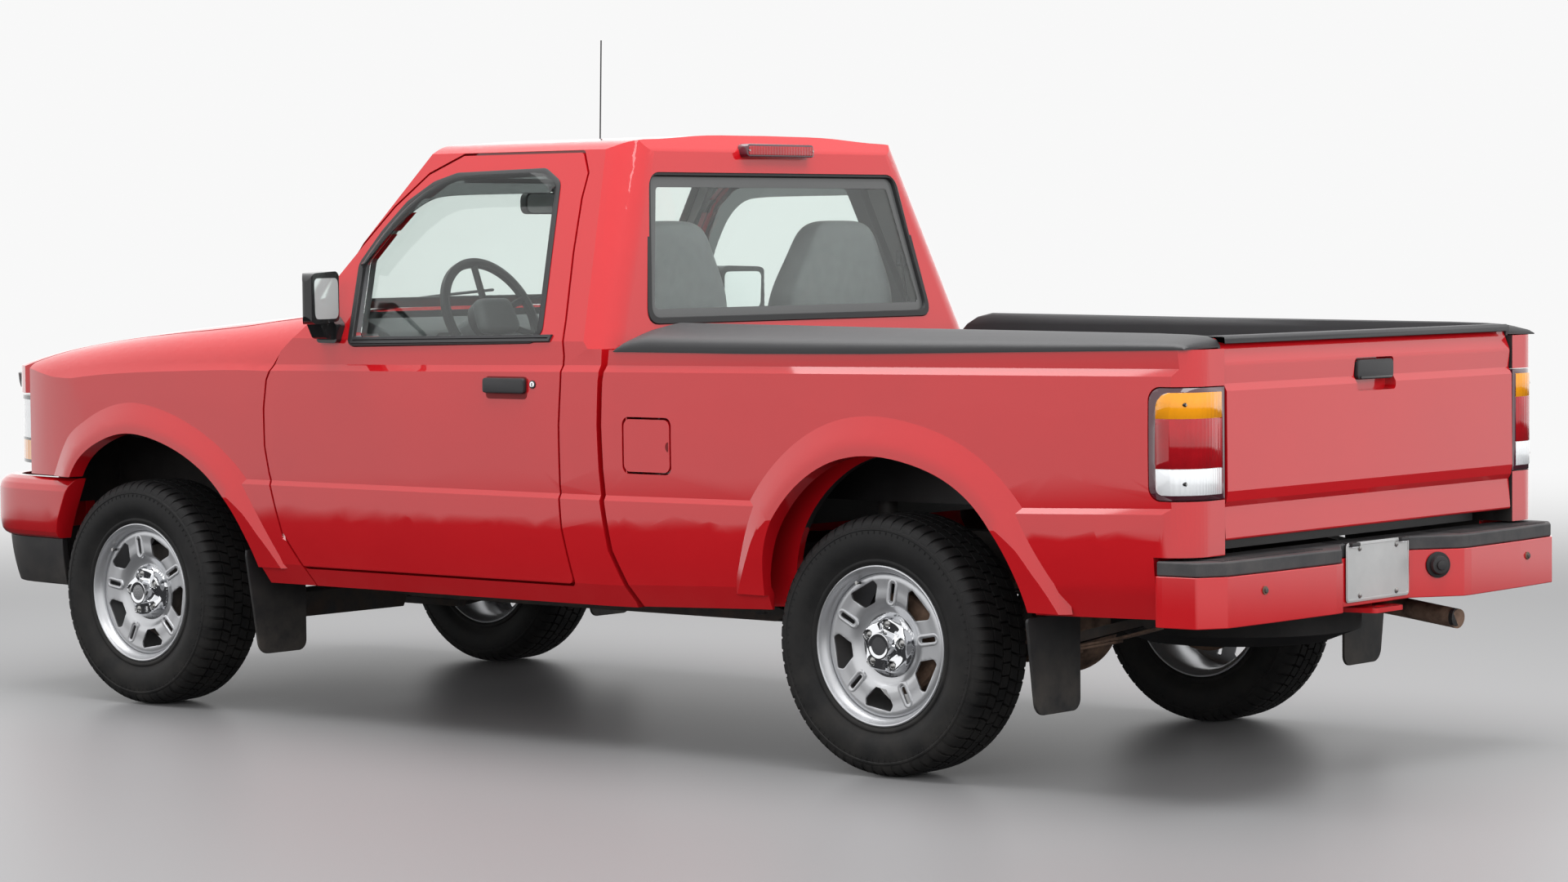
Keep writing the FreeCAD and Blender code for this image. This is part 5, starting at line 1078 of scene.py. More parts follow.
class TRUCK_OT_wheels(bpy.types.Operator):
    """Makes the four tyres with their tread and the four rims with centre caps and lug nuts"""

    bl_idname = "truck.wheels"
    bl_label = "Wheels"

    def execute(self, context):
        meshes = {}
        for key, kit in (("tyre", tyre_kit()), ("rim", rim_kit()), ("cap", cap_kit())):
            meshes[key] = mesh_from(kit.bm, key)
            dress(meshes[key], kit.materials, 38.0)
        for end, side_name, side, x, half in wheel_places:
            phase = (46.0 if side > 0 else 31.0) - (0.0 if end == "front" else 19.0)
            place = (
                Matrix.Translation((x, side * half, axle_height))
                @ Matrix.Rotation(0.0 if side > 0 else math.pi, 4, "Z")
                @ Matrix.Rotation(math.radians(phase), 4, "Y"))
            for key, pattern in meshes.items():
                node = "%s_%s_%s" % (key, end, side_name)
                mesh = pattern.copy()
                mesh.transform(place)
                obj = link(bpy.data.objects.new(node + "_dressed", mesh))
                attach(obj, "wheel_%s_%s" % (end, side_name))
                if key != "cap":
                    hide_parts(node)
        return {"FINISHED"}


# ---- tail

lamp_low_z = 0.756
lamp_clear_z = 0.82
lamp_amber_z = 0.941
lamp_high_z = 1.004
lamp_inner_y = 0.711
lamp_front_x = -2.197


class TRUCK_OT_tail(bpy.types.Operator):
    """Makes the tail lamps, tailgate handle and cap, the rear bumper's pad, plate and bolts, and the exhaust tip"""

    bl_idname = "truck.tail"
    bl_label = "Tail"

    def execute(self, context):
        # Planes that round the lenses' forward corners, each as a place and its way out
        corner = []
        for r, z, way in ((0.04, lamp_high_z, 1.0), (0.018, lamp_low_z, -1.0)):
            for a in (math.radians(18), math.radians(45), math.radians(72)):
                out = Vector((math.cos(a), 0.0, way * math.sin(a)))
                corner.append((Vector((lamp_front_x - r, 0.0, z - way * r)) + out * r, out))

        def lens(low, high):
            return lambda c, n: (
                low < c.z < high and lamp_inner_y < abs(c.y) and -2.4 < c.x < lamp_front_x
                and n.x < 0.25 and n.y * c.y > -0.2
                and all((Vector((c.x, 0.0, c.z)) - at).dot(out) < 0.0 for at, out in corner))

        def cut_lens(bm):
            for z in (lamp_low_z, lamp_clear_z, lamp_amber_z, lamp_high_z):
                cut_across(bm, (0, 0, z), (0, 0, 1))
            for y in (lamp_inner_y, -lamp_inner_y):
                cut_across(bm, (0, y, 0), (0, 1, 0))
            cut_across(bm, (lamp_front_x, 0, 0), (1, 0, 0))
            for at, out in corner:
                cut_across(bm, at, out)
            bm.normal_update()
            for low, high in ((lamp_low_z, lamp_clear_z), (lamp_clear_z, lamp_amber_z), (lamp_amber_z, lamp_high_z)):
                test = lens(low, high)
                for sign in (1.0, -1.0):
                    faces = [
                        f for f in bm.faces
                        if test(f.calc_center_median(), f.normal) and f.calc_center_median().y * sign > 0.0]
                    bmesh.ops.inset_region(bm, faces=faces, thickness=0.0012, depth=0.0022, use_even_offset=True)

        cad_copy("tail_lamps", "tail_lamp_lenses", "lens border", 0.0, zones=(
            ("lens clear", lens(lamp_low_z, lamp_clear_z)), ("lens red", lens(lamp_clear_z, lamp_amber_z)),
            ("lens amber", lens(lamp_amber_z, lamp_high_z))), change=cut_lens)
        kit = Kit("tail_lamp_screws", "chassis")
        for y, z in ((0.829, 0.975), (0.829, 0.784)):
            place = touch("tail_lamps", (-3.0, y, z), (1, 0, 0))[0]
            kit.bar(
                place + Vector((0.004, 0, 0)), place - Vector((0.0045, 0, 0)), 0.0052, "gloss black", sides=18,
                bevel=0.001)
            kit.bar(place - Vector((0.002, 0, 0)), place - Vector((0.0062, 0, 0)), 0.003, "bright steel", sides=6)
        kit.mirror()
        kit.done()

        kit = Kit("tailgate_handle", "tailgate")
        face = touch("tailgate", (-3.0, 0.0, 1.04), (1, 0, 0))[0].x
        paddle = rounded([(-0.087, 1.012), (0.087, 1.012), (0.087, 1.063), (-0.087, 1.063)], 0.014)
        kit.slab(paddle, "x", face - 0.0045, face + 0.012, "black plastic", 0.004)
        lip = rounded([(-0.076, 1.014), (0.076, 1.014), (0.076, 1.021), (-0.076, 1.021)], 0.003)
        kit.slab(lip, "x", face - 0.0075, face, "gloss black", 0.002)
        kit.done()
        kit = Kit("tailgate_cap", "tailgate")
        back = [
            (-2.291, 1.1185), (-2.291, 1.13), (-2.283, 1.1375), (-2.236, 1.1375), (-2.2295, 1.13), (-2.2295, 1.108),
            (-2.2335, 1.108), (-2.2335, 1.1335), (-2.287, 1.1335), (-2.287, 1.1185)]
        kit.slab(back, "y", -0.688, 0.688, "black plastic", 0.0012, 1)
        kit.done()

        kit = Kit("bumper_pad_ribs", "chassis")
        top = touch("bumper_pad", (-2.3, 0.5, 3.0), (0, 0, -1))[0].z
        rib_wide, rib_step = 0.0042, 0.0098
        for x, y, count, side in (
            (-2.345, 0.335, 46, 1.0), (-2.345, -0.34 - rib_wide, 46, -1.0), (-2.285, -0.15, 31, 1.0)):
            low, high = (x, y, top - 0.003), (-2.225, y + rib_wide, top + 0.0022)
            row_of(kit, low, high, count, (0.0, side * rib_step, 0.0), "grey pad")
        kit.done()
        cad_copy("bumper_pad", "bumper_pad_dressed", "grey pad", 0.004)

        kit = Kit("licence_plate", "chassis")
        face = touch("rear_bumper", (-3.0, 0.0, 0.52), (1, 0, 0))[0].x
        plate = rounded([(-0.1525, 0.448), (0.1525, 0.448), (0.1525, 0.6), (-0.1525, 0.6)], 0.012)
        kit.slab(plate, "x", face - 0.0052, face - 0.0036, "plate", 0.0005, 1)
        rim = grown(plate, -0.003), grown(plate, -0.008)
        kit.frame(*rim, lambda a, b, h: (face - 0.0052 - h, a, b), 0.0016, 0.0004, "plate")
        for y in (-0.089, 0.089):
            for z in (0.464, 0.584):
                kit.bar((face + 0.002, y, z), (face - 0.009, y, z), 0.0058, "bright steel", sides=6, bevel=0.0006)
                kit.bar((face - 0.0036, y, z), (face - 0.006, y, z), 0.0082, "bright steel", sides=20, bevel=0.0004)
        kit.done()
        kit = Kit("plate_lamps", "chassis")
        for y in (-0.12, 0.12):
            kit.box((face - 0.016, y - 0.02, 0.59), (face + 0.03, y + 0.02, 0.6), "black plastic", 0.003)
            kit.box((face - 0.012, y - 0.014, 0.587), (face + 0.004, y + 0.014, 0.591), "lens clear", 0.001)
        kit.done()

        kit = Kit("bumper_bolts", "chassis")
        for y in (0.64, -0.64):
            place, normal = touch("rear_bumper", (-3.0, y, 0.52), (1, 0, 0))
            kit.bar(place + normal * -0.004, place + normal * 0.0035, 0.0105, "rusty steel", sides=24, bevel=0.001)
            kit.bar(place + normal * 0.002, place + normal * 0.0075, 0.0068, "cast iron", sides=6, bevel=0.0008)
        place, normal = touch("rear_bumper", (-3.0, -0.232, 0.522), (1, 0, 0))
        kit.bar(place + normal * -0.004, place + normal * 0.006, 0.034, "rubber", sides=36, bevel=0.002)
        kit.bar(place + normal * 0.004, place + normal * 0.02, 0.026, "black plastic", r2=0.023, sides=36, bevel=0.003)
        kit.bar(place + normal * 0.018, place + normal * 0.026, 0.012, "black plastic", sides=24, bevel=0.002)
        kit.done()

        kit = Kit("exhaust_tip", "chassis")
        end = touch("exhaust", (-4.0, -0.338, 0.376), (1, 0, 0))[0]
        if end is not None:
            kit.bar((end.x + 0.001, -0.338, 0.376), (end.x + 0.012, -0.338, 0.376), 0.0235, "gloss black", sides=32)
        kit.done()
        return {"FINISHED"}


# ---- cab glass, door trim and mirrors

window_outline = [
    (-1.513, 1.577, 0.03), (-1.575, 1.543, 0.03), (-1.653, 1.138, 0.02), (-1.633, 1.113, 0.02), (-0.924, 1.099, 0.02),
    (-0.883, 1.322, 0.03), (-0.938, 1.412, 0.05), (-1.006, 1.493, 0.05), (-1.091, 1.547, 0.05), (-1.174, 1.57, 0.03)]

visor_top = [
    (-0.884, 1.318), (-0.94, 1.411), (-1.008, 1.49), (-1.091, 1.545), (-1.176, 1.568), (-1.34, 1.574),
    (-1.49, 1.574), (-1.552, 1.556), (-1.572, 1.536)]
visor_foot = [
    (-0.912, 1.318), (-0.972, 1.392), (-1.036, 1.455), (-1.108, 1.497), (-1.184, 1.509), (-1.34, 1.511),
    (-1.478, 1.511), (-1.54, 1.511), (-1.566, 1.509)]

# The visor's section: the share of the way down it and the height over the glass
visor_section = [
    (0.0, 0.003), (0.2, 0.0095), (0.6, 0.014), (1.0, 0.016), (1.0, 0.0135), (0.6, 0.0115), (0.22, 0.007),
    (0.04, 0.001)]


class TRUCK_OT_side(bpy.types.Operator):
    """Makes the bands of the windows, vent visors, handles, locks, mirrors, fuel door notch and high brake lamp"""

    bl_idname = "truck.side"
    bl_label = "Side Trim"

    def execute(self, context):
        low_z, high_z = 1.28, 1.5
        low = touch("door_left", (ax(-1.668), 2.0, low_z), (0, -1, 0))[0]
        high = touch("door_left", (ax(-1.632), 2.0, high_z), (0, -1, 0))[0]
        slope = (high.y - low.y) / (high_z - low_z)
        square = Vector((0.0, 1.0, -slope)).normalized()

        def on_window(x, z, height):
            return Vector((x, low.y + slope * (z - low_z), z)) + square * height

        window = [(ax(x), z) for x, z in rounded(window_outline, 0.03)]
        for side, name in ((1, "left"), (-1, "right")):
            body = "door_" + name
            kit = Kit("window_band_" + name, body, side)
            kit.frame(grown(window, 0.01), grown(window, -0.009), on_window, 0.0035, 0.01, "rubber")
            belt = [(ax(-0.93), 1.094), (ax(-1.7), 1.107), (ax(-1.706), 1.127), (ax(-0.926), 1.114)]
            kit.frame(belt, grown(belt, -0.0095), on_window, 0.0065, 0.004, "black plastic")
            kit.done()
            kit = Kit("vent_visor_" + name, body, side)
            top, foot = (soft_line([Vector((ax(x), 0.0, z)) for x, z in edge], 4) for edge in (visor_top, visor_foot))
            kit.rings([
                [on_window(*a.lerp(b, t).xz, h) for t, h in visor_section] for a, b in zip(top, foot)], "smoked glass")
            kit.done()
            kit = Kit("door_handle_" + name, body, side)
            bezel = rounded([(ax(-1.628), 0.95), (ax(-1.474), 0.95), (ax(-1.47), 1.012), (ax(-1.631), 1.012)], 0.014)
            # The bezel round the handle is painted shade: the body paint darkened, on a pad almost flush with the door
            kit.patch("door_left", bezel, "y", 1.0, 0.0008, 0.004, "painted shade red", 0.0)
            paddle = rounded([(ax(-1.626), 0.966), (ax(-1.468), 0.966), (ax(-1.468), 1.008), (ax(-1.626), 1.008)], 0.01)
            kit.patch("door_left", paddle, "y", 1.0, 0.0125, 0.002, "black plastic", 0.0055)
            kit.done()
            kit = Kit("door_lock_" + name, body, side)
            spot, normal = touch("door_left", (ax(-1.65), 2.0, 0.991), (0, -1, 0))
            kit.bar(spot - normal * 0.004, spot + normal * 0.0025, 0.0115, "black plastic", sides=32, bevel=0.001)
            kit.bar(spot, spot + normal * 0.004, 0.0085, "chrome", sides=32, bevel=0.0008)
            kit.box(spot + Vector((-0.001, 0.0, -0.0045)), spot + Vector((0.001, 0.0052, 0.0045)), "gloss black", 0.0)
            kit.done()
            cad_copy("mirror_" + name, "mirror_%s_housing" % name, "gloss black", 0.013, angle=28.0, segments=4)
            kit = Kit("mirror_glass_" + name, body, side)
            glass = rounded([(0.846, 1.168), (0.975, 1.168), (0.98, 1.284), (0.848, 1.284)], 0.02)
            kit.patch("mirror_left", glass, "x", -1.0, 0.0012, 0.004, "mirror", 0.0)
            rim = rounded([(0.841, 1.163), (0.98, 1.163), (0.985, 1.289), (0.843, 1.289)], 0.022)
            kit.patch("mirror_left", rim, "x", -1.0, 0.0006, 0.004, "gloss black", 0.0)
            kit.done()
        kit = Kit("fuel_door_notch", "fuel_door")
        half_turn = [math.radians(d) for d in range(-90, 91, 15)]
        notch = [(ax(-2.144) + 0.01 * math.cos(a), 0.832 + 0.013 * math.sin(a)) for a in half_turn]
        # The finger notch is painted shade: the body paint darkened, on a pad almost flush with the fuel door
        kit.patch("fuel_door", notch, "y", 1.0, 0.0006, 0.002, "painted shade red")
        kit.done()

        kit = Kit("rear_window_band", "chassis")
        under_z, over_z = 1.25, 1.5
        under = touch("cab_glass", (-3.0, 0.0, under_z), (1, 0, 0))[0]
        over = touch("cab_glass", (-3.0, 0.0, over_z), (1, 0, 0))[0]
        back = (over.x - under.x) / (over_z - under_z)
        rear = Vector((-1.0, 0.0, back)).normalized()

        def on_glass(y, z, height):
            return Vector((under.x + back * (z - under_z), y, z)) + rear * height

        outer = rounded([(-0.636, 1.15), (0.636, 1.15), (0.556, 1.58), (-0.556, 1.58)], 0.04, 6)
        seat = rounded([(-0.614, 1.17), (0.614, 1.17), (0.538, 1.56), (-0.538, 1.56)], 0.032, 6)
        inner = rounded([(-0.59, 1.194), (0.59, 1.194), (0.514, 1.53), (-0.514, 1.53)], 0.014, 6)
        kit.frame(outer, seat, on_glass, 0.0105, 0.01, "rubber")
        kit.frame(seat, inner, on_glass, 0.0008, 0.0002, "frit band")
        kit.done(replaced=("rear_window_seal",))
        kit = Kit("windscreen_band", "chassis")

        def on_screen(y, z, height):
            """A point on the bowed glass; past the glass's edge, with the depth of the nearest place inwards."""
            for k in range(12):
                share = 1.0 - 0.008 * k
                hit, out = touch("cab_glass", (3.0, y * share, 1.4 + (z - 1.4) * share), (-1, 0, 0))
                if hit is not None and hit.x > 0.3:
                    return Vector((hit.x, y, z)) + out * height
            raise ValueError("no windscreen at %.3f, %.3f" % (y, z))

        outer = rounded([(-0.69, 1.192), (0.69, 1.192), (0.584, 1.62), (-0.584, 1.62)], 0.06, 6)
        inner = rounded([(-0.662, 1.222), (0.662, 1.222), (0.562, 1.596), (-0.562, 1.596)], 0.045, 6)
        outer, inner = divided(outer, inner, 0.09)
        kit.frame(outer, inner, on_screen, 0.0022, 0.002, "frit band")
        kit.done()

        kit = Kit("high_brake_lamp_dressed", "chassis")
        seat = touch("high_brake_lamp", (-3.0, 0.0, 1.64), (1, 0, 0))[0].x
        lamp = rounded([(-0.152, 1.617), (0.152, 1.617), (0.147, 1.655), (-0.147, 1.655)], 0.013)
        kit.slab(lamp, "x", seat - 0.002, seat + 0.036, "lens border", 0.005)
        kit.slab(grown(lamp, -0.0065), "x", seat - 0.0042, seat, "lens red", 0.002)
        for y in (-0.141, 0.141):
            kit.bar((seat, y, 1.636), (seat - 0.006, y, 1.636), 0.0028, "bright steel", sides=12)
        kit.done(replaced=("high_brake_lamp",))
        return {"FINISHED"}


class TRUCK_OT_bed(bpy.types.Operator):
    """Makes the load bed's liner with its ribs and the rail caps"""

    bl_idname = "truck.bed"
    bl_label = "Load Bed"

    def execute(self, context):
        cad_copy("bed_box", "bed_liner", "liner black", 0.003)
        kit = Kit("rail_caps_dressed", "chassis")
        rings = []
        for x, k, ridge in (
            (-0.432, 0.1, 1.158), (-0.44, 0.34, 1.158), (-0.46, 0.62, 1.158), (-0.495, 0.86, 1.159),
            (-0.55, 1.0, 1.16), (-0.9, 1.0, 1.156), (-1.3, 1.0, 1.151), (-1.7, 1.0, 1.147), (-2.1, 1.0, 1.143),
            (-2.2, 0.96, 1.142), (-2.245, 0.88, 1.142), (-2.27, 0.66, 1.141), (-2.278, 0.3, 1.141)):
            foot = 1.0835 + (0.004 if x < -1.2 else 0.0) + max(0.0, -x - 1.3) * 0.02
            ring = []
            for y, t in (
                (0.8462, 0.0), (0.8468, 0.18), (0.844, 0.34), (0.834, 0.5), (0.818, 0.62), (0.795, 0.74), (0.76, 0.88),
                (0.725, 0.97), (0.7, 1.0), (0.693, 0.93), (0.6905, 0.6), (0.6905, 0.0), (0.7, 0.0), (0.7, 0.3),
                (0.836, 0.0)):
                ring.append((x, y, foot + (ridge - foot) * t * k))
            rings.append(ring)
        kit.rings(rings, "black plastic", angle=60.0)
        kit.mirror()
        kit.done(50.0, replaced=("rail_caps",))
        kit = Kit("bed_liner_ribs", "chassis")
        wall = touch("bed_box", (-1.2, 0.0, 0.95), (1, 0, 0))[0].x
        row_of(
            kit, (wall - 0.01, -0.652, 0.735), (wall + 0.004, -0.636, 1.096), 40, (0.0, 0.0326, 0.0), "liner black",
            0.003)
        for side in (1.0, -1.0):
            y = touch("bed_box", (-0.8, 0.0, 0.98), (0, side, 0))[0].y
            lo = (-2.15, min(y - side * 0.008, y + side * 0.003), 0.9)
            row_of(kit, lo, (-2.12, lo[1] + 0.011, 1.075), 26, (0.064, 0.0, 0.0), "liner black", 0.003)
        kit.done()
        return {"FINISHED"}


# ---- cabin


def cushion_rings(sections):
    """Rings of rounded-box sections: middle x, y and z, half along x, half along y, and the section's tilt in x."""
    def stuffed(t):
        return math.copysign(abs(t) ** 0.42, t)

    return [
        [(x + hx * stuffed(math.cos(a)), y + hy * stuffed(math.sin(a)), z + lean * hx * stuffed(math.cos(a)))
         for a in turns(28)]
        for x, y, z, hx, hy, lean in sections]


def soft_piece(name, sections, replaced=()):
    """A stuffed seat piece: a skin through its sections, smoothed."""
    kit = Kit(name, "chassis")
    kit.rings(cushion_rings(sections), "seat cloth")
    obj = kit.done(70.0, replaced=replaced)
    fill = obj.modifiers.new("Stuffing", "SUBSURF")
    fill.levels = 2
    fill.render_levels = 2
    return obj


class TRUCK_OT_cabin(bpy.types.Operator):
    """Makes the two seats with their head rests, the armrest, dash details, steering wheel, inside mirror and belts"""

    bl_idname = "truck.cabin"
    bl_label = "Cabin"

    def execute(self, context):
        seat_y = 0.38
        for side, name in ((1.0, "left"), (-1.0, "right")):
            y = side * seat_y
            back = [
                (-0.15, y, 0.7, 0.075, 0.2, 0.0), (-0.15, y, 0.712, 0.095, 0.228, 0.0),
                (-0.152, y, 0.78, 0.1, 0.24, 0.0), (-0.16, y, 0.9, 0.096, 0.246, 0.0),
                (-0.172, y, 1.04, 0.088, 0.246, 0.0), (-0.184, y, 1.15, 0.078, 0.244, 0.0),
                (-0.192, y, 1.23, 0.07, 0.236, 0.0), (-0.198, y, 1.29, 0.064, 0.204, 0.0),
                (-0.202, y, 1.34, 0.061, 0.172, 0.0), (-0.206, y, 1.385, 0.058, 0.148, 0.0),
                (-0.208, y, 1.415, 0.05, 0.126, 0.0), (-0.21, y, 1.432, 0.034, 0.096, 0.0),
                (-0.21, y, 1.437, 0.016, 0.06, 0.0)]
            soft_piece("seat_back_" + name, back, ("seats",) if side > 0 else ())
            base = [
                (0.15, y, 0.64, 0.25, 0.205, 0.0), (0.15, y, 0.652, 0.28, 0.232, 0.0),
                (0.152, y, 0.7, 0.292, 0.244, 0.06), (0.152, y, 0.748, 0.288, 0.244, 0.08),
                (0.148, y, 0.772, 0.262, 0.222, 0.09), (0.144, y, 0.78, 0.2, 0.16, 0.09)]
            soft_piece("seat_cushion_" + name, base)
            kit = Kit("seat_frame_" + name, "chassis")
            kit.box((-0.12, y - 0.195, 0.492), (0.385, y + 0.195, 0.64), "black plastic", 0.012)
            kit.box((-0.205, y - 0.22, 0.56), (-0.14, y + 0.22, 0.72), "black plastic", 0.012)
            kit.bar(
                (0.02, y + 0.245 * side, 0.655), (0.12, y + 0.25 * side, 0.668), 0.01, "gloss black", r2=0.007,
                sides=16, bevel=0.002)
            kit.done()
            kit = Kit("belt_" + name, "chassis")
            kit.box((-0.262, side * 0.655 - 0.006, 1.3), (-0.222, side * 0.655 + 0.006, 1.345), "trim grey", 0.003)
            strap = [
                (-0.242, side * 0.65, 1.335), (-0.262, side * 0.662, 1.1), (-0.25, side * 0.676, 0.8),
                (-0.226, side * 0.672, 0.56)]
            kit.pipe(strap, 0.004, "black plastic", sides=8)
            kit.box((-0.06, side * 0.118 - 0.012, 0.64), (-0.035, side * 0.118 + 0.012, 0.8), "black plastic", 0.005)
            kit.box((-0.057, side * 0.118 - 0.008, 0.8), (-0.038, side * 0.118 + 0.008, 0.808), "lens red", 0.002)
            kit.done()
        kit = Kit("armrest_pad", "chassis")
        kit.rings(cushion_rings([
            (0.158, 0.0, 0.8, 0.2, 0.08, 0.05), (0.158, 0.0, 0.812, 0.228, 0.1, 0.06),
            (0.158, 0.0, 0.89, 0.236, 0.109, 0.1), (0.156, 0.0, 0.934, 0.23, 0.106, 0.1),
            (0.154, 0.0, 0.95, 0.19, 0.08, 0.1)]), "seat cloth")
        kit.box((-0.07, -0.078, 0.56), (0.3, 0.078, 0.812), "trim grey", 0.01)
        pad = kit.done(60.0, replaced=("armrest",))

        cad_copy("dashboard", "dashboard_panel", "trim grey", 0.006, angle=24.0, segments=3)
        kit = Kit("dash_details", "chassis")

        def on_dash(y0, y1, z0, z1, lift, finish_name, r=0.006, bevel=0.001):
            kit.patch(
                "dashboard", rounded([(y0, z0), (y1, z0), (y1, z1), (y0, z1)], r), "x", -1.0, lift, 0.004,
                finish_name, bevel)

        on_dash(0.235, 0.525, 1.035, 1.12, 0.003, "gloss black", 0.03)
        on_dash(-0.11, 0.11, 0.985, 1.03, 0.004, "black plastic")
        on_dash(-0.11, 0.11, 0.905, 0.975, 0.004, "black plastic")
        on_dash(-0.095, 0.095, 0.992, 1.022, 0.0055, "dial face", 0.003)
        on_dash(-0.6, -0.2, 0.86, 0.985, 0.004, "trim grey", 0.02, 0.002)
        on_dash(-0.44, -0.36, 0.955, 0.975, 0.01, "black plastic", 0.004)
        for y in (-0.62, -0.18, 0.165, 0.615):
            on_dash(y - 0.045, y + 0.045, 1.04, 1.09, 0.005, "black plastic", 0.008)
            for i in range(5):
                on_dash(y - 0.038, y + 0.038, 1.046 + 0.0088 * i, 1.0495 + 0.0088 * i, 0.009, "gloss black", 0.001, 0.0)
        for y in (-0.07, 0.0, 0.07):
            place = touch("dashboard", (-3.0, y, 0.94), (1, 0, 0))[0]
            kit.bar(place, place - Vector((0.022, 0, 0)), 0.017, "black plastic", r2=0.014, sides=28, bevel=0.002)
            kit.box(place - Vector((0.024, 0.0015, -0.004)), place - Vector((0.02, -0.0015, -0.014)), "headliner", 0.0)
        for y in (0.312, 0.448):
            place = touch("dashboard", (-3.0, y, 1.078), (1, 0, 0))[0]
            kit.bar(
                place + Vector((0.002, 0, 0)), place - Vector((0.0045, 0, 0)), 0.036, "dial face", sides=40,
                bevel=0.0008)
            for i in range(11):
                a = math.radians(225.0 - 27.0 * i)
                spot = place + Vector((-0.005, 0.029 * math.cos(a), 0.029 * math.sin(a)))
                kit.box(spot - Vector((0.0006, 0.001, 0.001)), spot + Vector((0.0002, 0.001, 0.001)), "headliner", 0.0)
            kit.box(
                place + Vector((-0.0056, -0.0012, 0.0)), place + Vector((-0.0048, 0.0012, 0.026)), "lens amber", 0.0,
                turn=(math.radians(50), 0, 0), about=place)
        kit.done()

        cad_copy("steering_wheel", "steering_wheel_rim", "black plastic", 0.004, angle=30.0, segments=3)
        kit = Kit("steering_wheel_pad", "steering_wheel")
        hub = Vector((0.4685, seat_y, 1.16))
        column_tilt = math.radians(24.0)
        column = Vector((math.cos(column_tilt), 0.0, -math.sin(column_tilt)))
        near = touch("steering_wheel", hub - column * 0.5, column)[0] or hub
        up = Vector((0.0, 1.0, 0.0)).cross(column).normalized()
        if up.z < 0.0:
            up = -up
        across = Vector((0.0, 1.0, 0.0))
        pad = rounded([(-0.082, -0.055), (0.082, -0.055), (0.07, 0.052), (-0.07, 0.052)], 0.03, 6)
        rings = []
        for t, grow in ((0.012, 0.86), (0.004, 0.97), (-0.01, 1.0), (-0.022, 0.95), (-0.03, 0.8), (-0.033, 0.55)):
            rings.append([near + column * t + across * (a * grow) + up * (b * grow) for a, b in pad])
        kit.rings(rings, "trim grey", angle=70.0)
        kit.done(50.0)

        kit = Kit("inside_mirror", "chassis")
        screen = touch("cab_glass", (3.0, 0.0, 1.55), (-1, 0, 0))[0]
        middle = Vector((screen.x - 0.048, 0.045, 1.496))
        shell = rounded([(-0.125, -0.032), (0.125, -0.032), (0.125, 0.032), (-0.125, 0.032)], 0.026, 6)
        kit.slab(
            [(middle.y + a, middle.z + b) for a, b in shell], "x", middle.x - 0.012, middle.x + 0.014,
            "black plastic", 0.005, 3)
        kit.slab(
            [(middle.y + a * 0.95, middle.z + b * 0.88) for a, b in shell], "x", middle.x - 0.0132, middle.x - 0.01,
            "mirror", 0.0)
        kit.bar(
            (middle.x + 0.008, 0.0, middle.z + 0.01), (screen.x - 0.006, 0.0, 1.545), 0.006, "black plastic", sides=16)
        kit.bar(
            (screen.x - 0.012, 0.0, 1.545), (screen.x - 0.004, 0.0, 1.549), 0.016, "black plastic", sides=24,
            bevel=0.002)
        kit.done()
        kit = Kit("sun_visors", "chassis")
        for y in (0.3, -0.3):
            visor = rounded([(0.34, y - 0.19), (0.48, y - 0.19), (0.48, y + 0.19), (0.34, y + 0.19)], 0.03)
            kit.slab(visor, "z", 1.555, 1.567, "headliner", 0.005, 3)
        kit.done()
        kit = Kit("gear_lever", "chassis")
        boot = (
            (0.075, 0.56), (0.072, 0.6), (0.058, 0.612), (0.052, 0.63), (0.04, 0.64), (0.034, 0.658),
            (0.022, 0.668), (0.012, 0.69))
        kit.rings(
            [[(0.62 + r * math.cos(a), r * math.sin(a), z) for a in turns(20)] for r, z in boot], "rubber", angle=70.0)
        kit.pipe([(0.62, 0.0, 0.68), (0.6, 0.0, 0.76), (0.555, 0.0, 0.84)], 0.0065, "gloss black", sides=14)
        kit.lathe(
            [(0.0, 0.834), (0.012, 0.836), (0.021, 0.85), (0.022, 0.866), (0.015, 0.88), (0.0, 0.884)],
            (0.553, 0.0, 0.0), "gloss black", axis="z", steps=28)
        kit.done()
        return {"FINISHED"}


# ---- nose


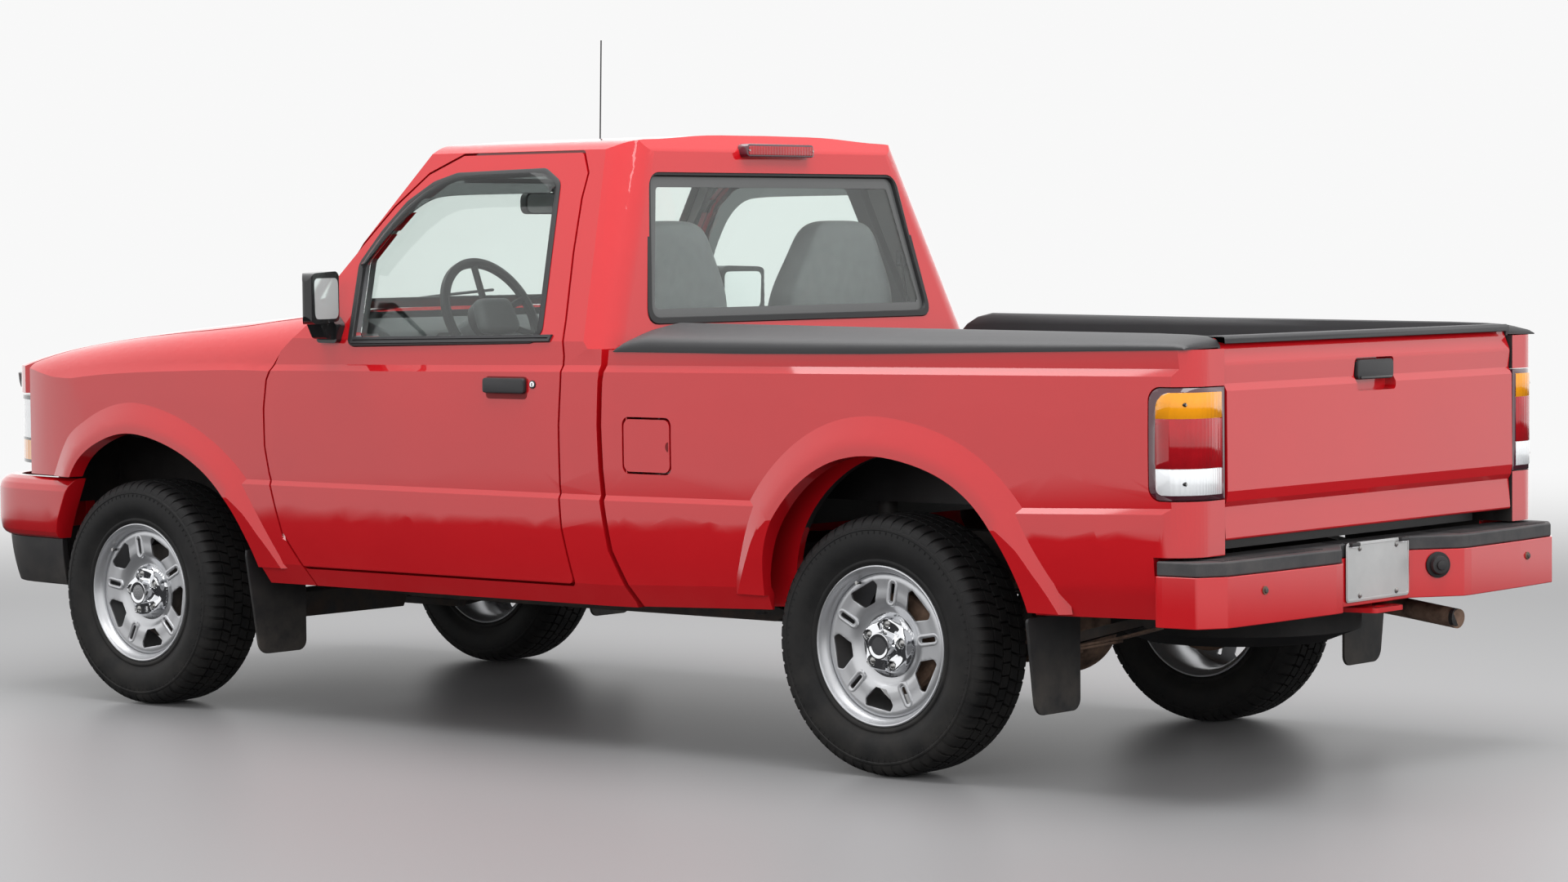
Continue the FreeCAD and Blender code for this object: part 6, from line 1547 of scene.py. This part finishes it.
class TRUCK_OT_nose(bpy.types.Operator):
    """Makes the head lamps with their amber parts, the grille bars, hood deflector, wipers and washer jets"""

    bl_idname = "truck.nose"
    bl_label = "Nose"

    def execute(self, context):
        low_edge, high_edge, line, inner_y = 0.722, 0.908, 0.786, 0.445

        def lens(low, high):
            return lambda c, n: low < c.z < high and inner_y < abs(c.y) and n.x > -0.25 and n.x + abs(n.y) > 0.6

        def cut(bm):
            for z in (low_edge, line - 0.004, line + 0.004, high_edge):
                cut_across(bm, (0, 0, z), (0, 0, 1))
            for y in (inner_y, -inner_y):
                cut_across(bm, (0, y, 0), (0, 1, 0))
            bm.normal_update()

        cad_copy("headlamps", "head_lamp_lenses", "gloss black", 0.0, zones=(
            ("lens amber", lens(low_edge, line - 0.004)), ("lens clear", lens(line + 0.004, high_edge))), change=cut)
        cad_copy("grille", "grille_surround", "black plastic", 0.004)
        kit = Kit("grille_bars", "chassis")
        for i in range(7):
            z = 0.742 + 0.0255 * i
            spots = [touch("grille", (4.0, -0.392 + 0.049 * k, z), (-1, 0, 0))[0] for k in range(17)]
            front = max((p.x for p in spots if p is not None), default=2.3)
            kit.box((front - 0.03, -0.395, z - 0.0035), (front - 0.012, 0.395, z + 0.0035), "black plastic", 0.0015)
        for k in range(31):
            y = -0.39 + 0.026 * k
            kit.box((front - 0.032, y - 0.0016, 0.735), (front - 0.016, y + 0.0016, 0.902), "black plastic", 0.0)
        kit.done()
        kit = Kit("hood_deflector_blade", "hood")
        rings = []
        for k in range(41):
            y = -0.7 + 0.035 * k
            edge = touch("hood_deflector", (4.0, y, 0.952), (-1, 0, 0))[0]
            if edge is None:
                continue
            t = abs(y) / 0.7
            rise = 0.026 * (1.0 - 0.45 * t * t)
            rings.append([
                (edge.x - 0.014, y, 0.938), (edge.x - 0.004, y, 0.944), (edge.x + 0.003, y, 0.96),
                (edge.x + 0.007, y, 0.972 + rise), (edge.x + 0.004, y, 0.973 + rise), (edge.x - 0.001, y, 0.962),
                (edge.x - 0.008, y, 0.948), (edge.x - 0.016, y, 0.942)])
        kit.rings(rings, "smoked plastic", angle=80.0)
        kit.done(60.0, replaced=("hood_deflector",))
        kit = Kit("wipers", "chassis")
        for y0, y1 in ((0.52, -0.02), (-0.1, -0.6)):
            foot = touch("cab_glass", (4.0, y0, 1.196), (-1, 0, 0))[0]
            tip = touch("cab_glass", (4.0, y1, 1.235), (-1, 0, 0))[0]
            kit.bar((foot.x + 0.05, y0, 1.15), (foot.x + 0.05, y0, 1.18), 0.012, "gloss black", sides=24, bevel=0.002)
            arm = [
                (foot.x + 0.05, y0, 1.178), (foot.x + 0.042, y0 - 0.12, 1.192), (foot.x + 0.03, (y0 + y1) / 2, 1.212),
                (tip.x + 0.02, (y0 + y1 * 2) / 3, 1.224)]
            blade = [
                (foot.x + 0.01, y0 - 0.03, 1.202), (tip.x + 0.008, (y0 + y1) / 2, 1.222), (tip.x + 0.008, y1, 1.239)]
            kit.pipe(arm, 0.005, "gloss black", sides=10)
            kit.pipe(blade, 0.0045, "rubber", sides=8)
        kit.done()
        kit = Kit("washer_jets", "hood")
        for y in (0.25, -0.25):
            spot = touch("hood", (1.05, y, 3.0), (0, 0, -1))[0]
            kit.box(spot - Vector((0.011, 0.009, 0.003)), spot + Vector((0.011, 0.009, 0.006)), "gloss black", 0.003)
        kit.done()
        return {"FINISHED"}


# ---- running gear and engine bay


class TRUCK_OT_under(bpy.types.Operator):
    """Makes the chassis parts with rolled edges, spring leaves, dampers, brakes, brake lines and mud flap screws"""

    bl_idname = "truck.under"
    bl_label = "Running Gear"

    def execute(self, context):
        for node, finish_name, bevel in (
            ("frame_rails", "frame black", 0.003), ("cross_members", "frame black", 0.003),
            ("front_arms", "frame black", 0.003), ("rear_axle", "rusty steel", 0.002),
            ("exhaust", "rusty steel", 0.0015), ("fuel_tank", "black plastic", 0.012),
            ("mud_flaps", "rubber", 0.0015), ("engine", "engine paint", 0.006),
            ("front_structure", "frame black", 0.002), ("knuckle_left", "cast iron", 0.003),
            ("knuckle_right", "cast iron", 0.003), ("front_valance", "black plastic", 0.005)):
            cad_copy(node, node + "_dressed", finish_name, bevel)
        kit = Kit("spring_leaves", "chassis")
        section = [(-0.0325, 0.0), (0.0325, 0.0), (0.0325, -0.0065), (-0.0325, -0.0065)]
        for k in range(4):
            reach = 0.64 - 0.125 * k
            top = 0.302 - 0.0075 * k
            rings = []
            for i in range(25):
                t = -1.0 + i / 12.0
                x = rear_axle_x + reach * t
                z = top + 0.088 * (reach * t / 0.62) ** 2
                rings.append([(x, 0.506 + a, z + b) for a, b in section])
            kit.rings(rings, "rusty steel", bevel=0.001)
        for x in (rear_axle_x - 0.055, rear_axle_x + 0.055):
            for y in (0.4715, 0.5405):
                kit.bar((x, y, 0.262), (x, y, 0.39), 0.0062, "rusty steel", sides=14)
                kit.bar((x, y, 0.258), (x, y, 0.268), 0.0105, "cast iron", sides=6)
        kit.mirror()
        kit.done()
        kit = Kit("dampers", "chassis")
        a = Vector((rear_axle_x - 0.11, 0.43, 0.3))
        b = Vector((rear_axle_x - 0.25, 0.395, 0.62))
        kit.bar(a, a.lerp(b, 0.55), 0.026, "frame black", sides=24, bevel=0.003)
        kit.bar(a.lerp(b, 0.45), b, 0.021, "gloss black", sides=24, bevel=0.003)
        kit.bar(a - Vector((0, 0.022, 0)), a + Vector((0, 0.022, 0)), 0.015, "rubber", sides=20)
        kit.mirror()
        kit.done()
        kit = Kit("hanging_lines", "chassis")
        line = [
            (rear_axle_x, 0.62, 0.395), (rear_axle_x + 0.02, 0.4, 0.43), (rear_axle_x, 0.12, 0.438),
            (rear_axle_x, -0.3, 0.432), (rear_axle_x, -0.6, 0.395)]
        hose = [(rear_axle_x, 0.12, 0.44), (rear_axle_x + 0.06, 0.2, 0.52), (rear_axle_x + 0.14, 0.34, 0.56)]
        kit.pipe(line, 0.0032, "bright steel", sides=8)
        kit.pipe(hose, 0.0065, "rubber", sides=10)
        kit.done()
        kit = Kit("mud_flap_screws", "chassis")
        for x, z in ((ax(-0.52), 0.44), (-1.812, 0.62)):
            for y in (0.7, 0.78):
                hit = touch("mud_flaps", (x - 0.8, y, z), (1, 0, 0))[0]
                if hit is not None:
                    kit.bar(
                        hit + Vector((0.002, 0, 0)), hit - Vector((0.004, 0, 0)), 0.0075, "bright steel", sides=18,
                        bevel=0.001)
        kit.mirror()
        kit.done()
        disc = [
            (0.08, -0.011), (0.14, -0.011), (0.142, -0.009), (0.142, -0.002), (0.08, -0.002), (0.08, 0.002),
            (0.142, 0.002), (0.142, 0.009), (0.14, 0.011), (0.08, 0.011), (0.066, 0.03), (0.06, 0.03),
            (0.06, 0.024), (0.072, 0.0)]
        drum = [
            (0.06, 0.03), (0.125, 0.028), (0.131, 0.02), (0.131, -0.03), (0.137, -0.034), (0.137, -0.04),
            (0.118, -0.04), (0.118, 0.018), (0.06, 0.02)]
        for end, name, side, x, half in wheel_places:
            kit = Kit("brake_%s_%s" % (end, name), "wheel_%s_%s" % (end, name), side)
            profile, finish_name = (disc, "cast iron") if end == "front" else (drum, "rusty steel")
            kit.lathe(profile, (x, half - 0.012, axle_height), finish_name, steps=56)
            kit.done()
        return {"FINISHED"}


class TRUCK_OT_engine(bpy.types.Operator):
    """Makes the valve cover, pipes, pulleys, battery, air box, hoses and reservoirs under the hood"""

    bl_idname = "truck.engine_bay"
    bl_label = "Engine Bay"

    def execute(self, context):
        kit = Kit("engine_top", "chassis")
        top = touch("engine", (1.2, 0.0, 3.0), (0, 0, -1))[0].z
        kit.box((0.9, -0.12, top - 0.045), (1.42, 0.075, top + 0.02), "engine paint", 0.016, 3)
        row_of(
            kit, (0.955, -0.112, top + 0.016), (0.967, 0.068, top + 0.025), 12, (0.036, 0.0, 0.0), "engine paint",
            0.003)
        kit.bar(
            (0.985, -0.025, top + 0.016), (0.985, -0.025, top + 0.04), 0.028, "black plastic", sides=28, bevel=0.004)
        for k in range(4):
            x = 1.06 + 0.088 * k
            kit.pipe(
                [(x, 0.06, top - 0.01), (x, 0.15, top + 0.01), (x, 0.235, top - 0.06), (x, 0.25, top - 0.15)], 0.019,
                "bright steel", sides=16)
        kit.box((1.02, 0.215, top - 0.175), (1.36, 0.29, top - 0.115), "bright steel", 0.018, 3)
        for y, r in ((0.06, 0.07), (-0.11, 0.055), (0.17, 0.045)):
            kit.bar((1.475, y, top - 0.12), (1.5, y, top - 0.12), r, "cast iron", sides=40, bevel=0.003)
        kit.done()
        kit = Kit("engine_bay_pieces", "chassis")
        kit.box((1.58, -0.64, 0.775), (1.76, -0.38, 0.95), "gloss black", 0.008)
        kit.box((1.575, -0.645, 0.925), (1.765, -0.375, 0.958), "black plastic", 0.006)
        for x in (1.62, 1.72):
            kit.bar((x, -0.43, 0.955), (x, -0.43, 0.972), 0.01, "bright steel", sides=20, bevel=0.001)
            kit.box(
                (x - 0.02, -0.45, 0.962), (x + 0.02, -0.41, 0.974), "lens red" if x < 1.65 else "black plastic", 0.003)
        kit.box((1.52, 0.38, 0.79), (1.78, 0.64, 0.94), "black plastic", 0.02, 3)
        kit.box((1.515, 0.375, 0.888), (1.785, 0.645, 0.9), "black plastic", 0.003)
        kit.pipe(
            [(1.62, 0.4, 0.89), (1.58, 0.3, 0.925), (1.46, 0.23, 0.93), (1.35, 0.215, 0.9)], 0.036, "rubber", sides=20)
        kit.pipe(
            [(1.86, 0.18, 0.905), (1.7, 0.16, 0.93), (1.56, 0.1, 0.915), (1.45, 0.05, 0.9)], 0.02, "rubber", sides=16)
        kit.box((0.7, 0.3, 0.93), (0.84, 0.42, 0.99), "headliner", 0.012, 3)
        kit.bar((0.77, 0.36, 0.985), (0.77, 0.36, 1.005), 0.026, "black plastic", sides=28, bevel=0.003)
        kit.box((1.3, -0.66, 0.8), (1.48, -0.52, 0.93), "headliner", 0.022, 3)
        kit.bar((1.39, -0.59, 0.925), (1.39, -0.59, 0.95), 0.03, "black plastic", sides=28, bevel=0.003)
        kit.done()
        return {"FINISHED"}


classes = [
    TRUCK_PG_settings,
    TRUCK_OT_finishes,
    TRUCK_OT_stage,
    TRUCK_OT_panels,
    TRUCK_OT_wheels,
    TRUCK_OT_tail,
    TRUCK_OT_side,
    TRUCK_OT_bed,
    TRUCK_OT_cabin,
    TRUCK_OT_nose,
    TRUCK_OT_under,
    TRUCK_OT_engine,
]


class TRUCK_PT_panel(bpy.types.Panel):
    """Lists the truck's pieces in the sidebar"""

    bl_label = "Pickup Truck"
    bl_idname = "TRUCK_PT_panel"
    bl_space_type = "VIEW_3D"
    bl_region_type = "UI"
    bl_category = "Truck"

    def draw(self, context):
        settings = context.scene.truck_settings
        for key in TRUCK_PG_settings.__annotations__:
            self.layout.prop(settings, key)
        for made in classes:
            if hasattr(made, "execute"):
                self.layout.operator(made.bl_idname)


def register():
    for made in classes + [TRUCK_PT_panel]:
        bpy.utils.register_class(made)
    bpy.types.Scene.truck_settings = bpy.props.PointerProperty(type=TRUCK_PG_settings)


def unregister():
    del bpy.types.Scene.truck_settings
    for made in reversed(classes + [TRUCK_PT_panel]):
        bpy.utils.unregister_class(made)


def main():
    register()
    for made in classes:
        if hasattr(made, "execute"):
            group, name = made.bl_idname.split(".")
            getattr(getattr(bpy.ops, group), name)()
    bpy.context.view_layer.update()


if __name__ == "__main__":
    main()
